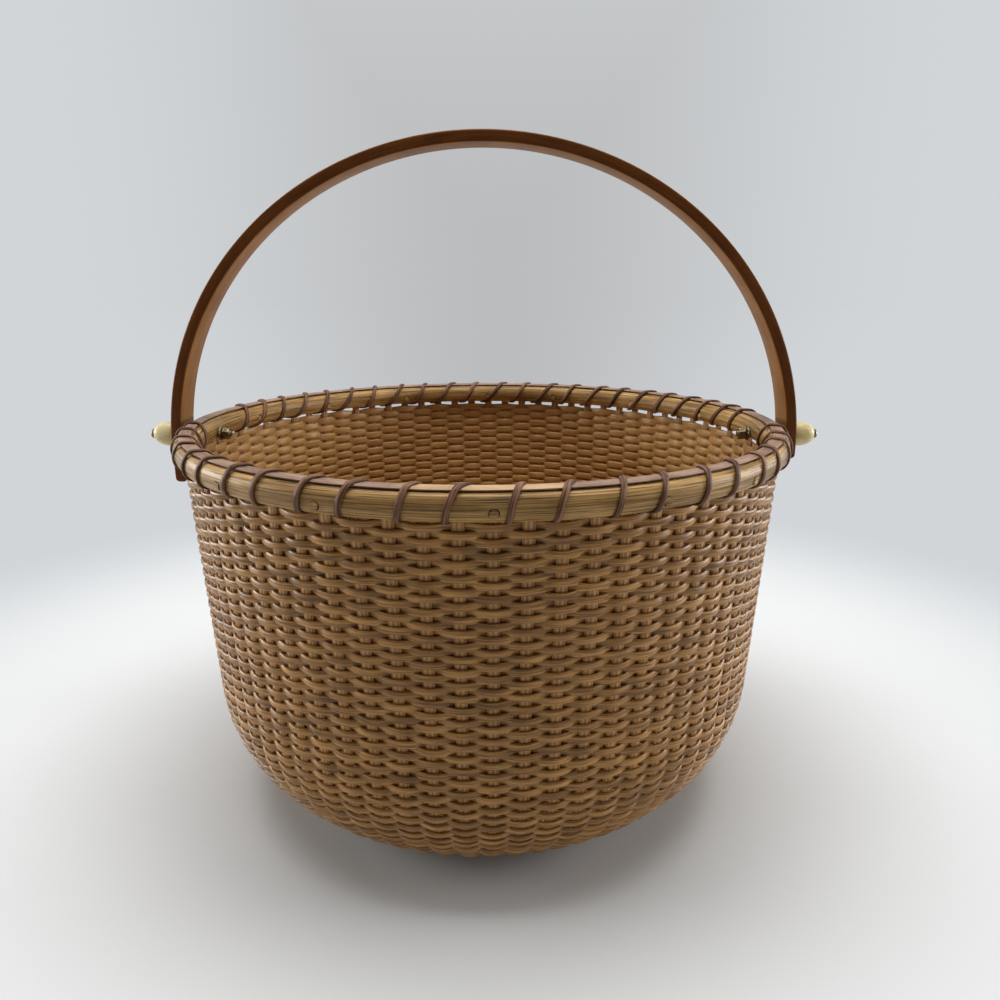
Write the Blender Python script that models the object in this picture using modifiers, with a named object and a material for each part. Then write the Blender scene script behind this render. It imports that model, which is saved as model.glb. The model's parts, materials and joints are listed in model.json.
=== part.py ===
"""A round woven basket on a turned wooden base, with a bent-wood swing handle.

Metres, +Z up. The origin is on the floor, under the middle of the base. The handle's
pivots lie on a line along X. Angles go round from the front, which faces -Y, to +X.
Staves stand in a groove in the base's edge. The weaver passes outside and inside of them,
and at the rim two half-round hoops clamp them, under a cap strip and a cane lashing.
"""

import math

import bmesh
import bpy
from mathutils import Vector

# Clearance between pieces that touch, the overrun of every cut, and how near points are made one
CLEARANCE = 0.0003
OVERRUN = 0.003
MERGE_DISTANCE = 0.00001

# Base, a turned disc with a plugged centre hole
BASE_RADIUS = 0.0587
BASE_OVER_GROOVE = 0.0042
BASE_EDGE_CHAMFER = 0.0012
PLUG_RADIUS = 0.0045
PLUG_CHAMFER = 0.0004

# Woven wall, measured on its outer face
WEAVER_THICKNESS = 0.0008
WEAVE_LIFT = 0.0008
WEAVE_FOOT = 0.0040
SHOULDER_RADIUS = 0.1183
SHOULDER_HEIGHT = 0.0578
WALL_FLARE = 0.0047
BARE_BAND = 0.0012

# Staves, and the root that ties a few of them together inside the groove
STAVE_THICKNESS = 0.0011
STAVE_TOP_WIDTH = 0.0041
STAVE_ROOT_WIDTH = 0.0028
ROOT_DEPTH = 0.0062
TIE_WIDTH = 0.0024

# Rim hoops, half-round wood, and the cap strip over the stave ends
HOOP_TOP = 0.1586
HOOP_HEIGHT = 0.0090
OUTER_HOOP_THICKNESS = 0.0040
INNER_HOOP_THICKNESS = 0.0042
HOOP_CREST = 0.0015
HOOP_SLANT = 0.0023
CAP_THICKNESS = 0.0009
CAP_JOINT = 0.0004
CAP_JOINT_STAVE = 20.8

# Cane lashing, a flat strand
STRAND_WIDTH = 0.0021
STRAND_THICKNESS = 0.0009

# Rim pegs, and how far they lie below the hoops' tops
PEG_RADIUS = 0.00135
PEG_DROP = 0.0057

# Handle, a bent strip whose arch springs just below its pivots
HANDLE_RISE = 0.1283
HANDLE_THICKNESS = 0.0047
HANDLE_WIDTH = 0.0145
HANDLE_EDGE_ROUND = 0.0007
HANDLE_END_CHAMFER = 0.0022
SPRING_DROP = 0.0067
LEFT_LEG_DROP = 0.0205
RIGHT_LEG_DROP = 0.0100

# Pivot hardware at each end of the handle, on a line below the hoops' tops
PIVOT_DROP = 0.0063
PIN_RADIUS = 0.0014
PIN_HEAD_RADIUS = 0.0021
PIN_HEAD_LENGTH = 0.0016
PIN_HEAD_ROUND = 0.0009
PIN_TAIL = 0.0006
KNOB_RADIUS = 0.0053
KNOB_LENGTH = 0.0088
KNOB_NECK_RADIUS = 0.0048
KNOB_ROUND = 0.0034
SPACER_RADIUS = 0.0043
SPACER_ROOM = 0.0043
WASHER_RADIUS = 0.0030
WASHER_THICKNESS = 0.0008
NUT_RADIUS = 0.0026
NUT_LENGTH = 0.0032

# Counts: staves and gaps between the two pivots, in front and behind
FRONT_PITCHES = 37
BACK_PITCHES = 38
STAVES_PER_TIE = 5
PEG_SPACES = 8
LASHED_GAPS = 24
LASHING_CYCLE = 3
ROUND_SIDES = 48
SMALL_SIDES = 16
PEG_SIDES = 8
NUT_SIDES = 6
CURVE_STEPS = 5
ARCH_STEPS = 36

# Places that follow from the sizes above
HALF_TURN = math.pi
QUARTER_TURN = math.pi / 2
SHARP_ANGLE = math.pi / 5
STAVE_COUNT = FRONT_PITCHES + BACK_PITCHES
STAVE_OUTER_LAYER = WEAVER_THICKNESS + CLEARANCE
STAVE_MIDDLE_LAYER = STAVE_OUTER_LAYER + STAVE_THICKNESS / 2
INNER_LAYER = STAVE_OUTER_LAYER + STAVE_THICKNESS + CLEARANCE
ROOT_HEIGHT = WEAVE_LIFT + STAVE_MIDDLE_LAYER
GROOVE_LOW = ROOT_HEIGHT - STAVE_THICKNESS / 2 - CLEARANCE
GROOVE_HIGH = ROOT_HEIGHT + STAVE_THICKNESS / 2 + CLEARANCE
BASE_THICKNESS = GROOVE_HIGH + BASE_OVER_GROOVE
ROOT_RADIUS = BASE_RADIUS - ROOT_DEPTH
HOOP_BOTTOM = HOOP_TOP - HOOP_HEIGHT
HOOP_MIDDLE = HOOP_TOP - HOOP_HEIGHT / 2
WEAVE_TOP = HOOP_BOTTOM - CLEARANCE - STRAND_THICKNESS - BARE_BAND
CAP_LOW = HOOP_TOP + CLEARANCE
CAP_HIGH = CAP_LOW + CAP_THICKNESS
PEG_HEIGHT = HOOP_TOP - PEG_DROP
PIVOT_HEIGHT = HOOP_TOP - PIVOT_DROP
BORE_RADIUS = PIN_RADIUS + CLEARANCE

# Finishes: base colour, roughness and metallic
CANE = ((0.52, 0.36, 0.22), 0.62, 0.0)
STAVE_WOOD = ((0.50, 0.33, 0.19), 0.60, 0.0)
HOOP_WOOD = ((0.66, 0.50, 0.31), 0.55, 0.0)
LASHING_CANE = ((0.33, 0.21, 0.17), 0.58, 0.0)
HANDLE_WOOD = ((0.24, 0.12, 0.06), 0.45, 0.0)
BASE_WOOD = ((0.42, 0.25, 0.13), 0.50, 0.0)
BONE = ((0.82, 0.76, 0.64), 0.38, 0.0)
BRONZE = ((0.16, 0.11, 0.07), 0.40, 1.0)


def clear_scene():
    for obj in list(bpy.data.objects):
        bpy.data.objects.remove(obj, do_unlink=True)


def new_collection(name):
    collection = bpy.data.collections.new(name)
    bpy.context.scene.collection.children.link(collection)
    return collection


def finish(obj, look):
    """Gives the object its own material, from a look of colour, roughness and metallic."""
    colour, roughness, metallic = look
    material = bpy.data.materials.new(obj.name)
    material.use_nodes = True
    shader = material.node_tree.nodes["Principled BSDF"]
    shader.inputs["Base Color"].default_value = (*colour, 1.0)
    shader.inputs["Roughness"].default_value = roughness
    shader.inputs["Metallic"].default_value = metallic
    obj.data.materials.append(material)


def add_object(name, mesh, collection):
    obj = bpy.data.objects.new(name, mesh)
    collection.objects.link(obj)
    return obj


# Plane geometry, on points of radius and height

def shifted_line(points, distance, closed=False):
    """The line moved to its left by the distance, with mitred corners."""
    count = len(points)
    normals = []
    for (r0, z0), (r1, z1) in zip(points, points[1:] + points[:1]):
        length = math.hypot(r1 - r0, z1 - z0)
        normals.append(((z0 - z1) / length, (r1 - r0) / length))
    moved = []
    for i, (r, z) in enumerate(points):
        after = normals[i] if closed or i < count - 1 else normals[i - 1]
        before = normals[i - 1] if closed or i > 0 else after
        spread = 1 + before[0] * after[0] + before[1] * after[1]
        moved.append(
            (
                r + distance * (before[0] + after[0]) / spread,
                z + distance * (before[1] + after[1]) / spread,
            )
        )
    return moved


def at_height(low, high, height):
    """The radius, at a height, of the straight line through two points."""
    share = (height - low[1]) / (high[1] - low[1])
    return low[0] + share * (high[0] - low[0])


def wall_line(layer, top):
    """A layer of the wall, from the base up to a height, the layer's depth inside its outer face."""
    start = BASE_RADIUS + CLEARANCE
    foot = start + WEAVE_FOOT
    reach = SHOULDER_RADIUS - foot
    rise = SHOULDER_HEIGHT - WEAVE_LIFT
    points = [(start, WEAVE_LIFT)]
    for step in range(CURVE_STEPS + 1):
        turn = QUARTER_TURN * (1 - step / CURVE_STEPS)
        radius = foot + reach * math.cos(turn)
        points.append((radius, SHOULDER_HEIGHT - rise * math.sin(turn)))
    points.append((SHOULDER_RADIUS + WALL_FLARE, WEAVE_TOP))
    line = shifted_line(points, layer)
    line[-1] = (at_height(line[-2], line[-1], top), top)
    return line


def wall_radius(layer, height):
    """The radius of a layer of the wall near the rim."""
    return wall_line(layer, height)[-1][0]


def outer_hoop_radius():
    return wall_radius(WEAVER_THICKNESS, HOOP_MIDDLE) + OUTER_HOOP_THICKNESS


def inner_hoop_radius():
    return wall_radius(INNER_LAYER, HOOP_MIDDLE) - INNER_HOOP_THICKNESS


def handle_half_span():
    """How far the handle's outer face stands from the middle, at the spring of its arch."""
    return outer_hoop_radius() + SPACER_ROOM + HANDLE_THICKNESS


def inward(radius, sides=ROUND_SIDES):
    """The corner radius of a polygon whose flats lie at this radius, for a face towards the axis."""
    return radius / math.cos(HALF_TURN / sides)


def place(radius, angle, height):
    return Vector((radius * math.sin(angle), -radius * math.cos(angle), height))


def stave_angle(number):
    """The angle of a stave counted from the left pivot through the front, or of a gap at a half."""
    if number <= FRONT_PITCHES:
        return HALF_TURN * number / FRONT_PITCHES - QUARTER_TURN
    return HALF_TURN * (number - FRONT_PITCHES) / BACK_PITCHES + QUARTER_TURN


# Makers of solids

def turned(name, outline, look, collection, closed=True, sides=ROUND_SIDES):
    """A solid turned about Z. The outline runs down its outer side, and closes on itself or the axis."""
    mesh = bpy.data.meshes.new(name)
    count = len(outline)
    edges = [(i, i + 1) for i in range(count - 1)]
    if closed:
        edges.append((count - 1, 0))
    mesh.from_pydata([(r, 0, z) for r, z in outline], edges, [])
    obj = add_object(name, mesh, collection)
    finish(obj, look)
    screw = obj.modifiers.new("Turn", "SCREW")
    screw.steps = sides
    screw.render_steps = sides
    screw.use_merge_vertices = True
    screw.merge_threshold = MERGE_DISTANCE
    return obj


def ribbon(name, points, faces, thickness, look, collection):
    """A thin strip: an open surface with its thickness half on each side."""
    mesh = bpy.data.meshes.new(name)
    mesh.from_pydata(points, [], faces)
    obj = add_object(name, mesh, collection)
    finish(obj, look)
    solid = obj.modifiers.new("Thickness", "SOLIDIFY")
    solid.thickness = thickness
    solid.offset = 0
    solid.use_even_offset = True
    return obj


def rod_mesh(name, radius, near, far, sides):
    """A cylinder along +Z between two distances from the axis of the basket."""
    shape = bmesh.new()
    bmesh.ops.create_cone(
        shape, cap_ends=True, segments=sides, radius1=radius, radius2=radius, depth=far - near
    )
    bmesh.ops.translate(shape, verts=shape.verts, vec=(0, 0, (near + far) / 2))
    mesh = bpy.data.meshes.new(name)
    shape.to_mesh(mesh)
    shape.free()
    return mesh


def point_outward(obj, angle, height):
    """Turns an object whose length is along Z so that it points out from the axis at a height."""
    obj.location = (0, 0, height)
    obj.rotation_euler = (0, QUARTER_TURN, angle - QUARTER_TURN)


def hidden_cutter(obj):
    obj.hide_render = True
    obj.display_type = "WIRE"
    return obj


def drill(obj, cutter):
    cut = obj.modifiers.new("Holes", "BOOLEAN")
    cut.operation = "DIFFERENCE"
    cut.solver = "EXACT"
    cut.object = cutter


# Base

def make_base(parts):
    bore = inward(PLUG_RADIUS + CLEARANCE)
    groove = ROOT_RADIUS - CLEARANCE
    edge = BASE_RADIUS - BASE_EDGE_CHAMFER
    outline = [
        (bore, BASE_THICKNESS),
        (edge, BASE_THICKNESS),
        (BASE_RADIUS, BASE_THICKNESS - BASE_EDGE_CHAMFER),
        (BASE_RADIUS, GROOVE_HIGH),
        (groove, GROOVE_HIGH),
        (groove, GROOVE_LOW),
        (BASE_RADIUS, GROOVE_LOW),
        (BASE_RADIUS, GROOVE_LOW / 2),
        (BASE_RADIUS - GROOVE_LOW / 2, 0),
        (bore, 0),
    ]
    turned("base_disc", outline, BASE_WOOD, parts)
    plug = [
        (0, BASE_THICKNESS),
        (PLUG_RADIUS - PLUG_CHAMFER, BASE_THICKNESS),
        (PLUG_RADIUS, BASE_THICKNESS - PLUG_CHAMFER),
        (PLUG_RADIUS, 0),
        (0, 0),
    ]
    turned("base_plug", plug, BASE_WOOD, parts, closed=False, sides=SMALL_SIDES)


# Staves and weave

def stave_width(radius):
    grown = (radius - ROOT_RADIUS) / (SHOULDER_RADIUS - ROOT_RADIUS)
    return STAVE_ROOT_WIDTH + (STAVE_TOP_WIDTH - STAVE_ROOT_WIDTH) * min(max(grown, 0), 1)


def stave_line():
    """The middle of a stave: its root in the groove, then up the wall to the top of the hoops."""
    root = [(ROOT_RADIUS, ROOT_HEIGHT), (ROOT_RADIUS + TIE_WIDTH, ROOT_HEIGHT)]
    return root + wall_line(STAVE_MIDDLE_LAYER, HOOP_TOP)[1:]


def make_stave_group(number, first, last, cutter, parts):
    """A few neighbouring staves, one piece where their roots meet inside the groove."""
    line = stave_line()
    points = []
    for stave in range(first, last):
        angle = stave_angle(stave)
        across = Vector((math.cos(angle), math.sin(angle), 0))
        for radius, height in line:
            middle = place(radius, angle, height)
            half = across * stave_width(radius) / 2
            points += [middle - half, middle + half]
    faces = []
    rows = len(line)
    for stave in range(last - first):
        start = 2 * rows * stave
        for row in range(rows - 1):
            low = start + 2 * row
            faces.append((low, low + 1, low + 3, low + 2))
        if stave:
            before = start - 2 * rows
            faces.append((before + 1, start, start + 2, before + 3))
    obj = ribbon(f"stave_group_{number:02d}", points, faces, STAVE_THICKNESS, STAVE_WOOD, parts)
    drill(obj, cutter)


def make_staves(cutter, parts):
    for number, first in enumerate(range(0, STAVE_COUNT, STAVES_PER_TIE), start=1):
        last = min(first + STAVES_PER_TIE, STAVE_COUNT)
        make_stave_group(number, first, last, cutter, parts)


def make_weave_layer(name, depth, parts):
    """One layer of the weaver, plain, as a thin bowl-shaped wall open above and below."""
    outer = wall_line(depth, WEAVE_TOP)
    inner = wall_line(depth + WEAVER_THICKNESS, WEAVE_TOP)
    inner = [(inward(radius), height) for radius, height in inner]
    turned(name, outer[::-1] + inner, CANE, parts)


def make_weave(parts):
    make_weave_layer("weave_outside", 0, parts)
    make_weave_layer("weave_inside", INNER_LAYER, parts)


# Rim

def peg_staves():
    """The staves that a peg goes through: even spaces on each side between the pivots."""
    staves = []
    for first, pitches in ((0, FRONT_PITCHES), (FRONT_PITCHES, BACK_PITCHES)):
        for space in range(1, PEG_SPACES):
            staves.append(first + math.ceil(space * pitches / PEG_SPACES))
    return staves


def make_rim_cutter(cutters):
    """Holes through both hoops and the staves, for the pegs and the two pivot pins."""
    near = inner_hoop_radius() - OVERRUN
    far = outer_hoop_radius() + OVERRUN
    holes = [
        (stave_angle(stave), PEG_HEIGHT, PEG_RADIUS + CLEARANCE, PEG_SIDES)
        for stave in peg_staves()
    ]
    holes += [(side * QUARTER_TURN, PIVOT_HEIGHT, BORE_RADIUS, SMALL_SIDES) for side in (-1, 1)]
    shape = bmesh.new()
    for angle, height, radius, sides in holes:
        rod = rod_mesh("hole", radius, near, far, sides)
        marker = bpy.data.objects.new("hole", rod)
        point_outward(marker, angle, height)
        rod.transform(marker.matrix_basis)
        shape.from_mesh(rod)
        bpy.data.objects.remove(marker)
        bpy.data.meshes.remove(rod)
    mesh = bpy.data.meshes.new("rim_holes")
    shape.to_mesh(mesh)
    shape.free()
    return hidden_cutter(add_object("rim_holes", mesh, cutters))


def make_hoops(cutter, parts):
    face_low = wall_radius(WEAVER_THICKNESS, HOOP_BOTTOM)
    face_high = wall_radius(WEAVER_THICKNESS, HOOP_TOP)
    side = outer_hoop_radius()
    outer = [
        (inward(face_high), HOOP_TOP),
        (face_high + HOOP_CREST, HOOP_TOP),
        (side, HOOP_TOP - HOOP_SLANT),
        (side, HOOP_BOTTOM + HOOP_SLANT),
        (face_low + HOOP_CREST, HOOP_BOTTOM),
        (inward(face_low), HOOP_BOTTOM),
    ]
    drill(turned("outer_rim_hoop", outer, HOOP_WOOD, parts), cutter)
    face_low = wall_radius(INNER_LAYER, HOOP_BOTTOM)
    face_high = wall_radius(INNER_LAYER, HOOP_TOP)
    side = inner_hoop_radius()
    inner = [
        (face_high, HOOP_TOP),
        (face_low, HOOP_BOTTOM),
        (inward(face_low - HOOP_CREST), HOOP_BOTTOM),
        (inward(side), HOOP_BOTTOM + HOOP_SLANT),
        (inward(side), HOOP_TOP - HOOP_SLANT),
        (inward(face_high - HOOP_CREST), HOOP_TOP),
    ]
    drill(turned("inner_rim_hoop", inner, HOOP_WOOD, parts), cutter)


def cap_edges():
    """The cap strip's inner and outer radius, which end on the hoops' crests."""
    inner = wall_radius(INNER_LAYER, HOOP_TOP) - HOOP_CREST
    return inner, wall_radius(WEAVER_THICKNESS, HOOP_TOP) + HOOP_CREST


def make_cap(parts, cutters):
    """The cap strip, whose two ends meet in a slanting joint under the lashing in front."""
    inner, outer = cap_edges()
    outline = [
        (outer, CAP_HIGH),
        (outer, CAP_LOW),
        (inward(inner), CAP_LOW),
        (inward(inner), CAP_HIGH),
    ]
    cap = turned("rim_cap_strip", outline, LASHING_CANE, parts)
    shape = bmesh.new()
    bmesh.ops.create_cube(shape, size=1)
    size = (CAP_JOINT, 2 * (outer - inner) + 2 * OVERRUN, CAP_THICKNESS + 2 * OVERRUN)
    bmesh.ops.scale(shape, verts=shape.verts, vec=size)
    mesh = bpy.data.meshes.new("cap_joint")
    shape.to_mesh(mesh)
    shape.free()
    joint = hidden_cutter(add_object("cap_joint", mesh, cutters))
    angle = stave_angle(CAP_JOINT_STAVE)
    joint.location = place((inner + outer) / 2, angle, (CAP_LOW + CAP_HIGH) / 2)
    joint.rotation_euler = (0, 0, angle + QUARTER_TURN / 3)
    drill(cap, joint)


def rim_section():
    """The corners that the lashing bends round, from the outer hoop's underside over the top."""
    cap_inner, cap_outer = cap_edges()
    outer = outer_hoop_radius()
    inner = inner_hoop_radius()
    low = HOOP_BOTTOM + HOOP_SLANT
    high = HOOP_TOP - HOOP_SLANT
    return [
        (wall_radius(WEAVER_THICKNESS, HOOP_BOTTOM) + HOOP_CREST, HOOP_BOTTOM),
        (outer, low),
        (outer, high),
        (cap_outer, CAP_HIGH),
        (cap_inner, CAP_HIGH),
        (inner, high),
        (inner, low),
        (wall_radius(INNER_LAYER, HOOP_BOTTOM) - HOOP_CREST, HOOP_BOTTOM),
    ]


def lashing_path(gaps):
    """The strand's middle and the way it faces: over the rim from each gap to the next."""
    corners = rim_section()
    loop = shifted_line(corners, -CLEARANCE - STRAND_THICKNESS / 2, closed=True)
    lengths = [math.dist(a, b) for a, b in zip(loop, loop[1:])]
    shares = [sum(lengths[:i]) / sum(lengths) for i in range(len(loop))]
    stations = [(stave_angle(gaps[0]), len(loop) - 1)]
    for gap, following in zip(gaps, gaps[1:]):
        start = stave_angle(gap)
        advance = stave_angle(following) - start
        stations += [(start + share * advance, corner) for corner, share in enumerate(shares)]
    stations.append((stave_angle(gaps[-1]), 0))
    path = []
    for angle, corner in stations:
        out = (loop[corner][0] - corners[corner][0], loop[corner][1] - corners[corner][1])
        point = place(loop[corner][0], angle, loop[corner][1])
        path.append((point, place(out[0], angle, out[1]).normalized()))
    return path


def least_gap(path):
    """The least gap of a strand to itself, between points of its middle that lie a loop apart."""
    middle = [point for point, _ in path]
    finer = [a.lerp(b, share / 3) for a, b in zip(middle, middle[1:]) for share in range(3)]
    apart = 3 * (len(rim_section()) - 2)
    near = min(
        (finer[i] - finer[j]).length for i in range(len(finer)) for j in range(i + apart, len(finer))
    )
    return near - STRAND_WIDTH


def make_lashing(name, first, parts):
    """A flat strand over the rim, which skips the first gap of every lashing cycle."""
    gaps = [gap for gap in range(LASHING_CYCLE * LASHED_GAPS) if gap % LASHING_CYCLE]
    path = lashing_path([first + gap + 0.5 for gap in gaps[:LASHED_GAPS]])
    points = []
    for i, (point, out) in enumerate(path):
        before = path[max(i - 1, 0)][0]
        after = path[min(i + 1, len(path) - 1)][0]
        half = out.cross(after - before).normalized() * STRAND_WIDTH / 2
        points += [point - half, point + half]
    faces = [(2 * i, 2 * i + 1, 2 * i + 3, 2 * i + 2) for i in range(len(path) - 1)]
    ribbon(name, points, faces, STRAND_THICKNESS, LASHING_CANE, parts)
    print(f"{name}: {LASHED_GAPS - 1} loops, least gap to itself {1000 * least_gap(path):.2f} mm")


def make_pegs(parts):
    """Round pegs, flush with the faces of the two hoops."""
    near = inward(inner_hoop_radius())
    far = outer_hoop_radius() * math.cos(HALF_TURN / ROUND_SIDES)
    for number, stave in enumerate(peg_staves(), start=1):
        name = f"rim_peg_{number:02d}"
        obj = add_object(name, rod_mesh(name, PEG_RADIUS, near, far, PEG_SIDES), parts)
        finish(obj, HOOP_WOOD)
        point_outward(obj, stave_angle(stave), PEG_HEIGHT)


# Handle and its pivots

def arch_face(half_span, rise, height):
    """How far a face of the handle stands from the middle, at a height above the arch's spring."""
    return half_span * math.sqrt(1 - (max(height, 0) / rise) ** 2)


def handle_outline():
    """The handle seen from the front, about its pivot line: the outer arch, then the inner one."""
    half_span = handle_half_span()
    inner_span = half_span - HANDLE_THICKNESS
    inner_rise = HANDLE_RISE - HANDLE_THICKNESS
    chamfered = half_span - HANDLE_END_CHAMFER
    outline = [
        (chamfered, -RIGHT_LEG_DROP),
        (half_span, HANDLE_END_CHAMFER - RIGHT_LEG_DROP),
    ]
    for step in range(ARCH_STEPS + 1):
        turn = HALF_TURN * step / ARCH_STEPS
        outline.append((half_span * math.cos(turn), HANDLE_RISE * math.sin(turn) - SPRING_DROP))
    outline += [
        (-half_span, HANDLE_END_CHAMFER - LEFT_LEG_DROP),
        (-chamfered, -LEFT_LEG_DROP),
        (-inner_span, -LEFT_LEG_DROP),
    ]
    for step in range(ARCH_STEPS, -1, -1):
        turn = HALF_TURN * step / ARCH_STEPS
        outline.append((inner_span * math.cos(turn), inner_rise * math.sin(turn) - SPRING_DROP))
    outline.append((inner_span, -RIGHT_LEG_DROP))
    return outline


def make_handle(parts, cutters):
    curve = bpy.data.curves.new("handle_outline", "CURVE")
    curve.dimensions = "2D"
    curve.fill_mode = "BOTH"
    curve.extrude = HANDLE_WIDTH / 2
    outline = handle_outline()
    spline = curve.splines.new("POLY")
    spline.points.add(len(outline) - 1)
    for point, (across, up) in zip(spline.points, outline):
        point.co = (across, up, 0, 1)
    spline.use_cyclic_u = True
    drawn = add_object("handle_outline", curve, cutters)
    bpy.context.view_layer.update()
    mesh = bpy.data.meshes.new_from_object(
        drawn.evaluated_get(bpy.context.evaluated_depsgraph_get())
    )
    bpy.data.objects.remove(drawn)
    shape = bmesh.new()
    shape.from_mesh(mesh)
    bmesh.ops.remove_doubles(shape, verts=shape.verts, dist=MERGE_DISTANCE)
    shape.to_mesh(mesh)
    shape.free()
    mesh.materials.clear()
    handle = add_object("swing_handle", mesh, parts)
    finish(handle, HANDLE_WOOD)
    handle.location = (0, 0, PIVOT_HEIGHT)
    handle.rotation_euler = (QUARTER_TURN, 0, 0)
    rounded = handle.modifiers.new("Edges", "BEVEL")
    rounded.width = HANDLE_EDGE_ROUND
    rounded.segments = 1
    rounded.limit_method = "ANGLE"
    rounded.angle_limit = HALF_TURN / 3
    far = handle_half_span() + OVERRUN
    bore = rod_mesh("handle_bores", BORE_RADIUS, -far, far, SMALL_SIDES)
    cutter = hidden_cutter(add_object("handle_bores", bore, cutters))
    point_outward(cutter, QUARTER_TURN, PIVOT_HEIGHT)
    drill(handle, cutter)


def shade_parts(parts):
    """Works each part's modifiers into its mesh, and shades it smooth between its sharp edges."""
    bpy.context.view_layer.update()
    graph = bpy.context.evaluated_depsgraph_get()
    finished = [
        (obj, bpy.data.meshes.new_from_object(obj.evaluated_get(graph))) for obj in parts.objects
    ]
    for obj, mesh in finished:
        obj.modifiers.clear()
        obj.data = mesh
        mesh.shade_smooth()
        mesh.set_sharp_from_angle(angle=SHARP_ANGLE)


def make_pivot(side, angle, parts, cutters):
    """One pivot: a pin through nut, washer, rim, spacer, handle and knob, with its head outside."""
    bore = inward(BORE_RADIUS, SMALL_SIDES)
    washer_far = inner_hoop_radius() - CLEARANCE
    washer_near = washer_far - WASHER_THICKNESS
    nut_far = washer_near - CLEARANCE
    nut_near = nut_far - NUT_LENGTH
    half_span = handle_half_span()
    inner_span = half_span - HANDLE_THICKNESS
    inner_rise = HANDLE_RISE - HANDLE_THICKNESS
    spacer_near = outer_hoop_radius() + CLEARANCE
    spacer_far = arch_face(inner_span, inner_rise, SPRING_DROP + SPACER_RADIUS) - CLEARANCE
    knob_near = arch_face(half_span, HANDLE_RISE, SPRING_DROP - KNOB_RADIUS) + CLEARANCE
    knob_far = knob_near + KNOB_LENGTH
    head_near = knob_far + CLEARANCE
    head_far = head_near + PIN_HEAD_LENGTH
    pin = [
        (0, head_far),
        (PIN_HEAD_RADIUS - PIN_HEAD_ROUND, head_far),
        (PIN_HEAD_RADIUS, head_far - PIN_HEAD_ROUND),
        (PIN_HEAD_RADIUS, head_near),
        (PIN_RADIUS, head_near),
        (PIN_RADIUS, nut_near - PIN_TAIL),
        (0, nut_near - PIN_TAIL),
    ]
    knob = [
        (KNOB_NECK_RADIUS - KNOB_ROUND / 2, knob_far),
        (KNOB_RADIUS - KNOB_ROUND / 3, knob_far - KNOB_ROUND / 2),
        (KNOB_RADIUS, knob_far - KNOB_ROUND),
        (KNOB_RADIUS, knob_far - 2 * KNOB_ROUND),
        (KNOB_NECK_RADIUS, knob_near),
        (bore, knob_near),
        (bore, knob_far),
    ]
    rings = {
        "spacer": (SPACER_RADIUS, spacer_near, spacer_far, BONE),
        "washer": (WASHER_RADIUS, washer_near, washer_far, BRONZE),
    }
    pieces = [
        turned(f"{side}_pivot_pin", pin, BRONZE, parts, closed=False, sides=SMALL_SIDES),
        turned(f"{side}_pivot_knob", knob, BONE, parts, sides=SMALL_SIDES),
    ]
    for name, (radius, near, far, look) in rings.items():
        outline = [(radius, far), (radius, near), (bore, near), (bore, far)]
        pieces.append(turned(f"{side}_pivot_{name}", outline, look, parts, sides=SMALL_SIDES))
    nut_name = f"{side}_pivot_nut"
    nut = add_object(nut_name, rod_mesh(nut_name, NUT_RADIUS, nut_near, nut_far, NUT_SIDES), parts)
    finish(nut, BRONZE)
    hole_name = f"{side}_nut_bore"
    hole = rod_mesh(hole_name, bore, nut_near - OVERRUN, nut_far + OVERRUN, SMALL_SIDES)
    cutter = hidden_cutter(add_object(hole_name, hole, cutters))
    drill(nut, cutter)
    pieces += [nut, cutter]
    for piece in pieces:
        point_outward(piece, angle, PIVOT_HEIGHT)


def main():
    clear_scene()
    parts = new_collection("nantucket_basket")
    cutters = new_collection("cutters")
    rim_holes = make_rim_cutter(cutters)
    make_base(parts)
    make_staves(rim_holes, parts)
    make_weave(parts)
    make_hoops(rim_holes, parts)
    make_cap(parts, cutters)
    make_lashing("front_lashing", 0, parts)
    make_lashing("back_lashing", FRONT_PITCHES, parts)
    make_pegs(parts)
    make_handle(parts, cutters)
    make_pivot("left", -QUARTER_TURN, parts, cutters)
    make_pivot("right", QUARTER_TURN, parts, cutters)
    shade_parts(parts)


main()
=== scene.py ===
"""The looks of a round cane basket with a lashed rim and a swing handle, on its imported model.

Metres, +Z up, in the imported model's frame: the origin is on the floor under the base, the handle
pivots along X, and the front faces -Y. Angles go round from the front to +X.
"""

import json
import logging
import math
from collections.abc import Callable, Sequence
from dataclasses import dataclass
from enum import Enum
from typing import Any

import bmesh
import bpy
from mathutils import Matrix, Vector


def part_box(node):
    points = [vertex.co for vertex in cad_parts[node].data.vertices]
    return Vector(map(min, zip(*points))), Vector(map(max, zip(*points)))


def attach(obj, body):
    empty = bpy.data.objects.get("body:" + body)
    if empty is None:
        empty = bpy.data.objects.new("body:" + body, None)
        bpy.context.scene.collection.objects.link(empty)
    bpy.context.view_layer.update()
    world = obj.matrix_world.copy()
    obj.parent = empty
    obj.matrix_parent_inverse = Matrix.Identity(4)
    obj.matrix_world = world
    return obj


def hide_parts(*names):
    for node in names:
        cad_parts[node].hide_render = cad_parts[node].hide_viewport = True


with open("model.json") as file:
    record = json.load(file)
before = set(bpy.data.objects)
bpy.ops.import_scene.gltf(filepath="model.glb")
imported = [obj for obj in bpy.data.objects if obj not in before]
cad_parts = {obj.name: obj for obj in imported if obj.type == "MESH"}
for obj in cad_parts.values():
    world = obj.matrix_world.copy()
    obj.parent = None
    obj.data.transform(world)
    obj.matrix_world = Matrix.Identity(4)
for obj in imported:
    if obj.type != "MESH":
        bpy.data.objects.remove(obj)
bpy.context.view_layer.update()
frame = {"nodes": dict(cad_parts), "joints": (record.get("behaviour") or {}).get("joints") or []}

MERGE_DISTANCE = 0.00001
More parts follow.
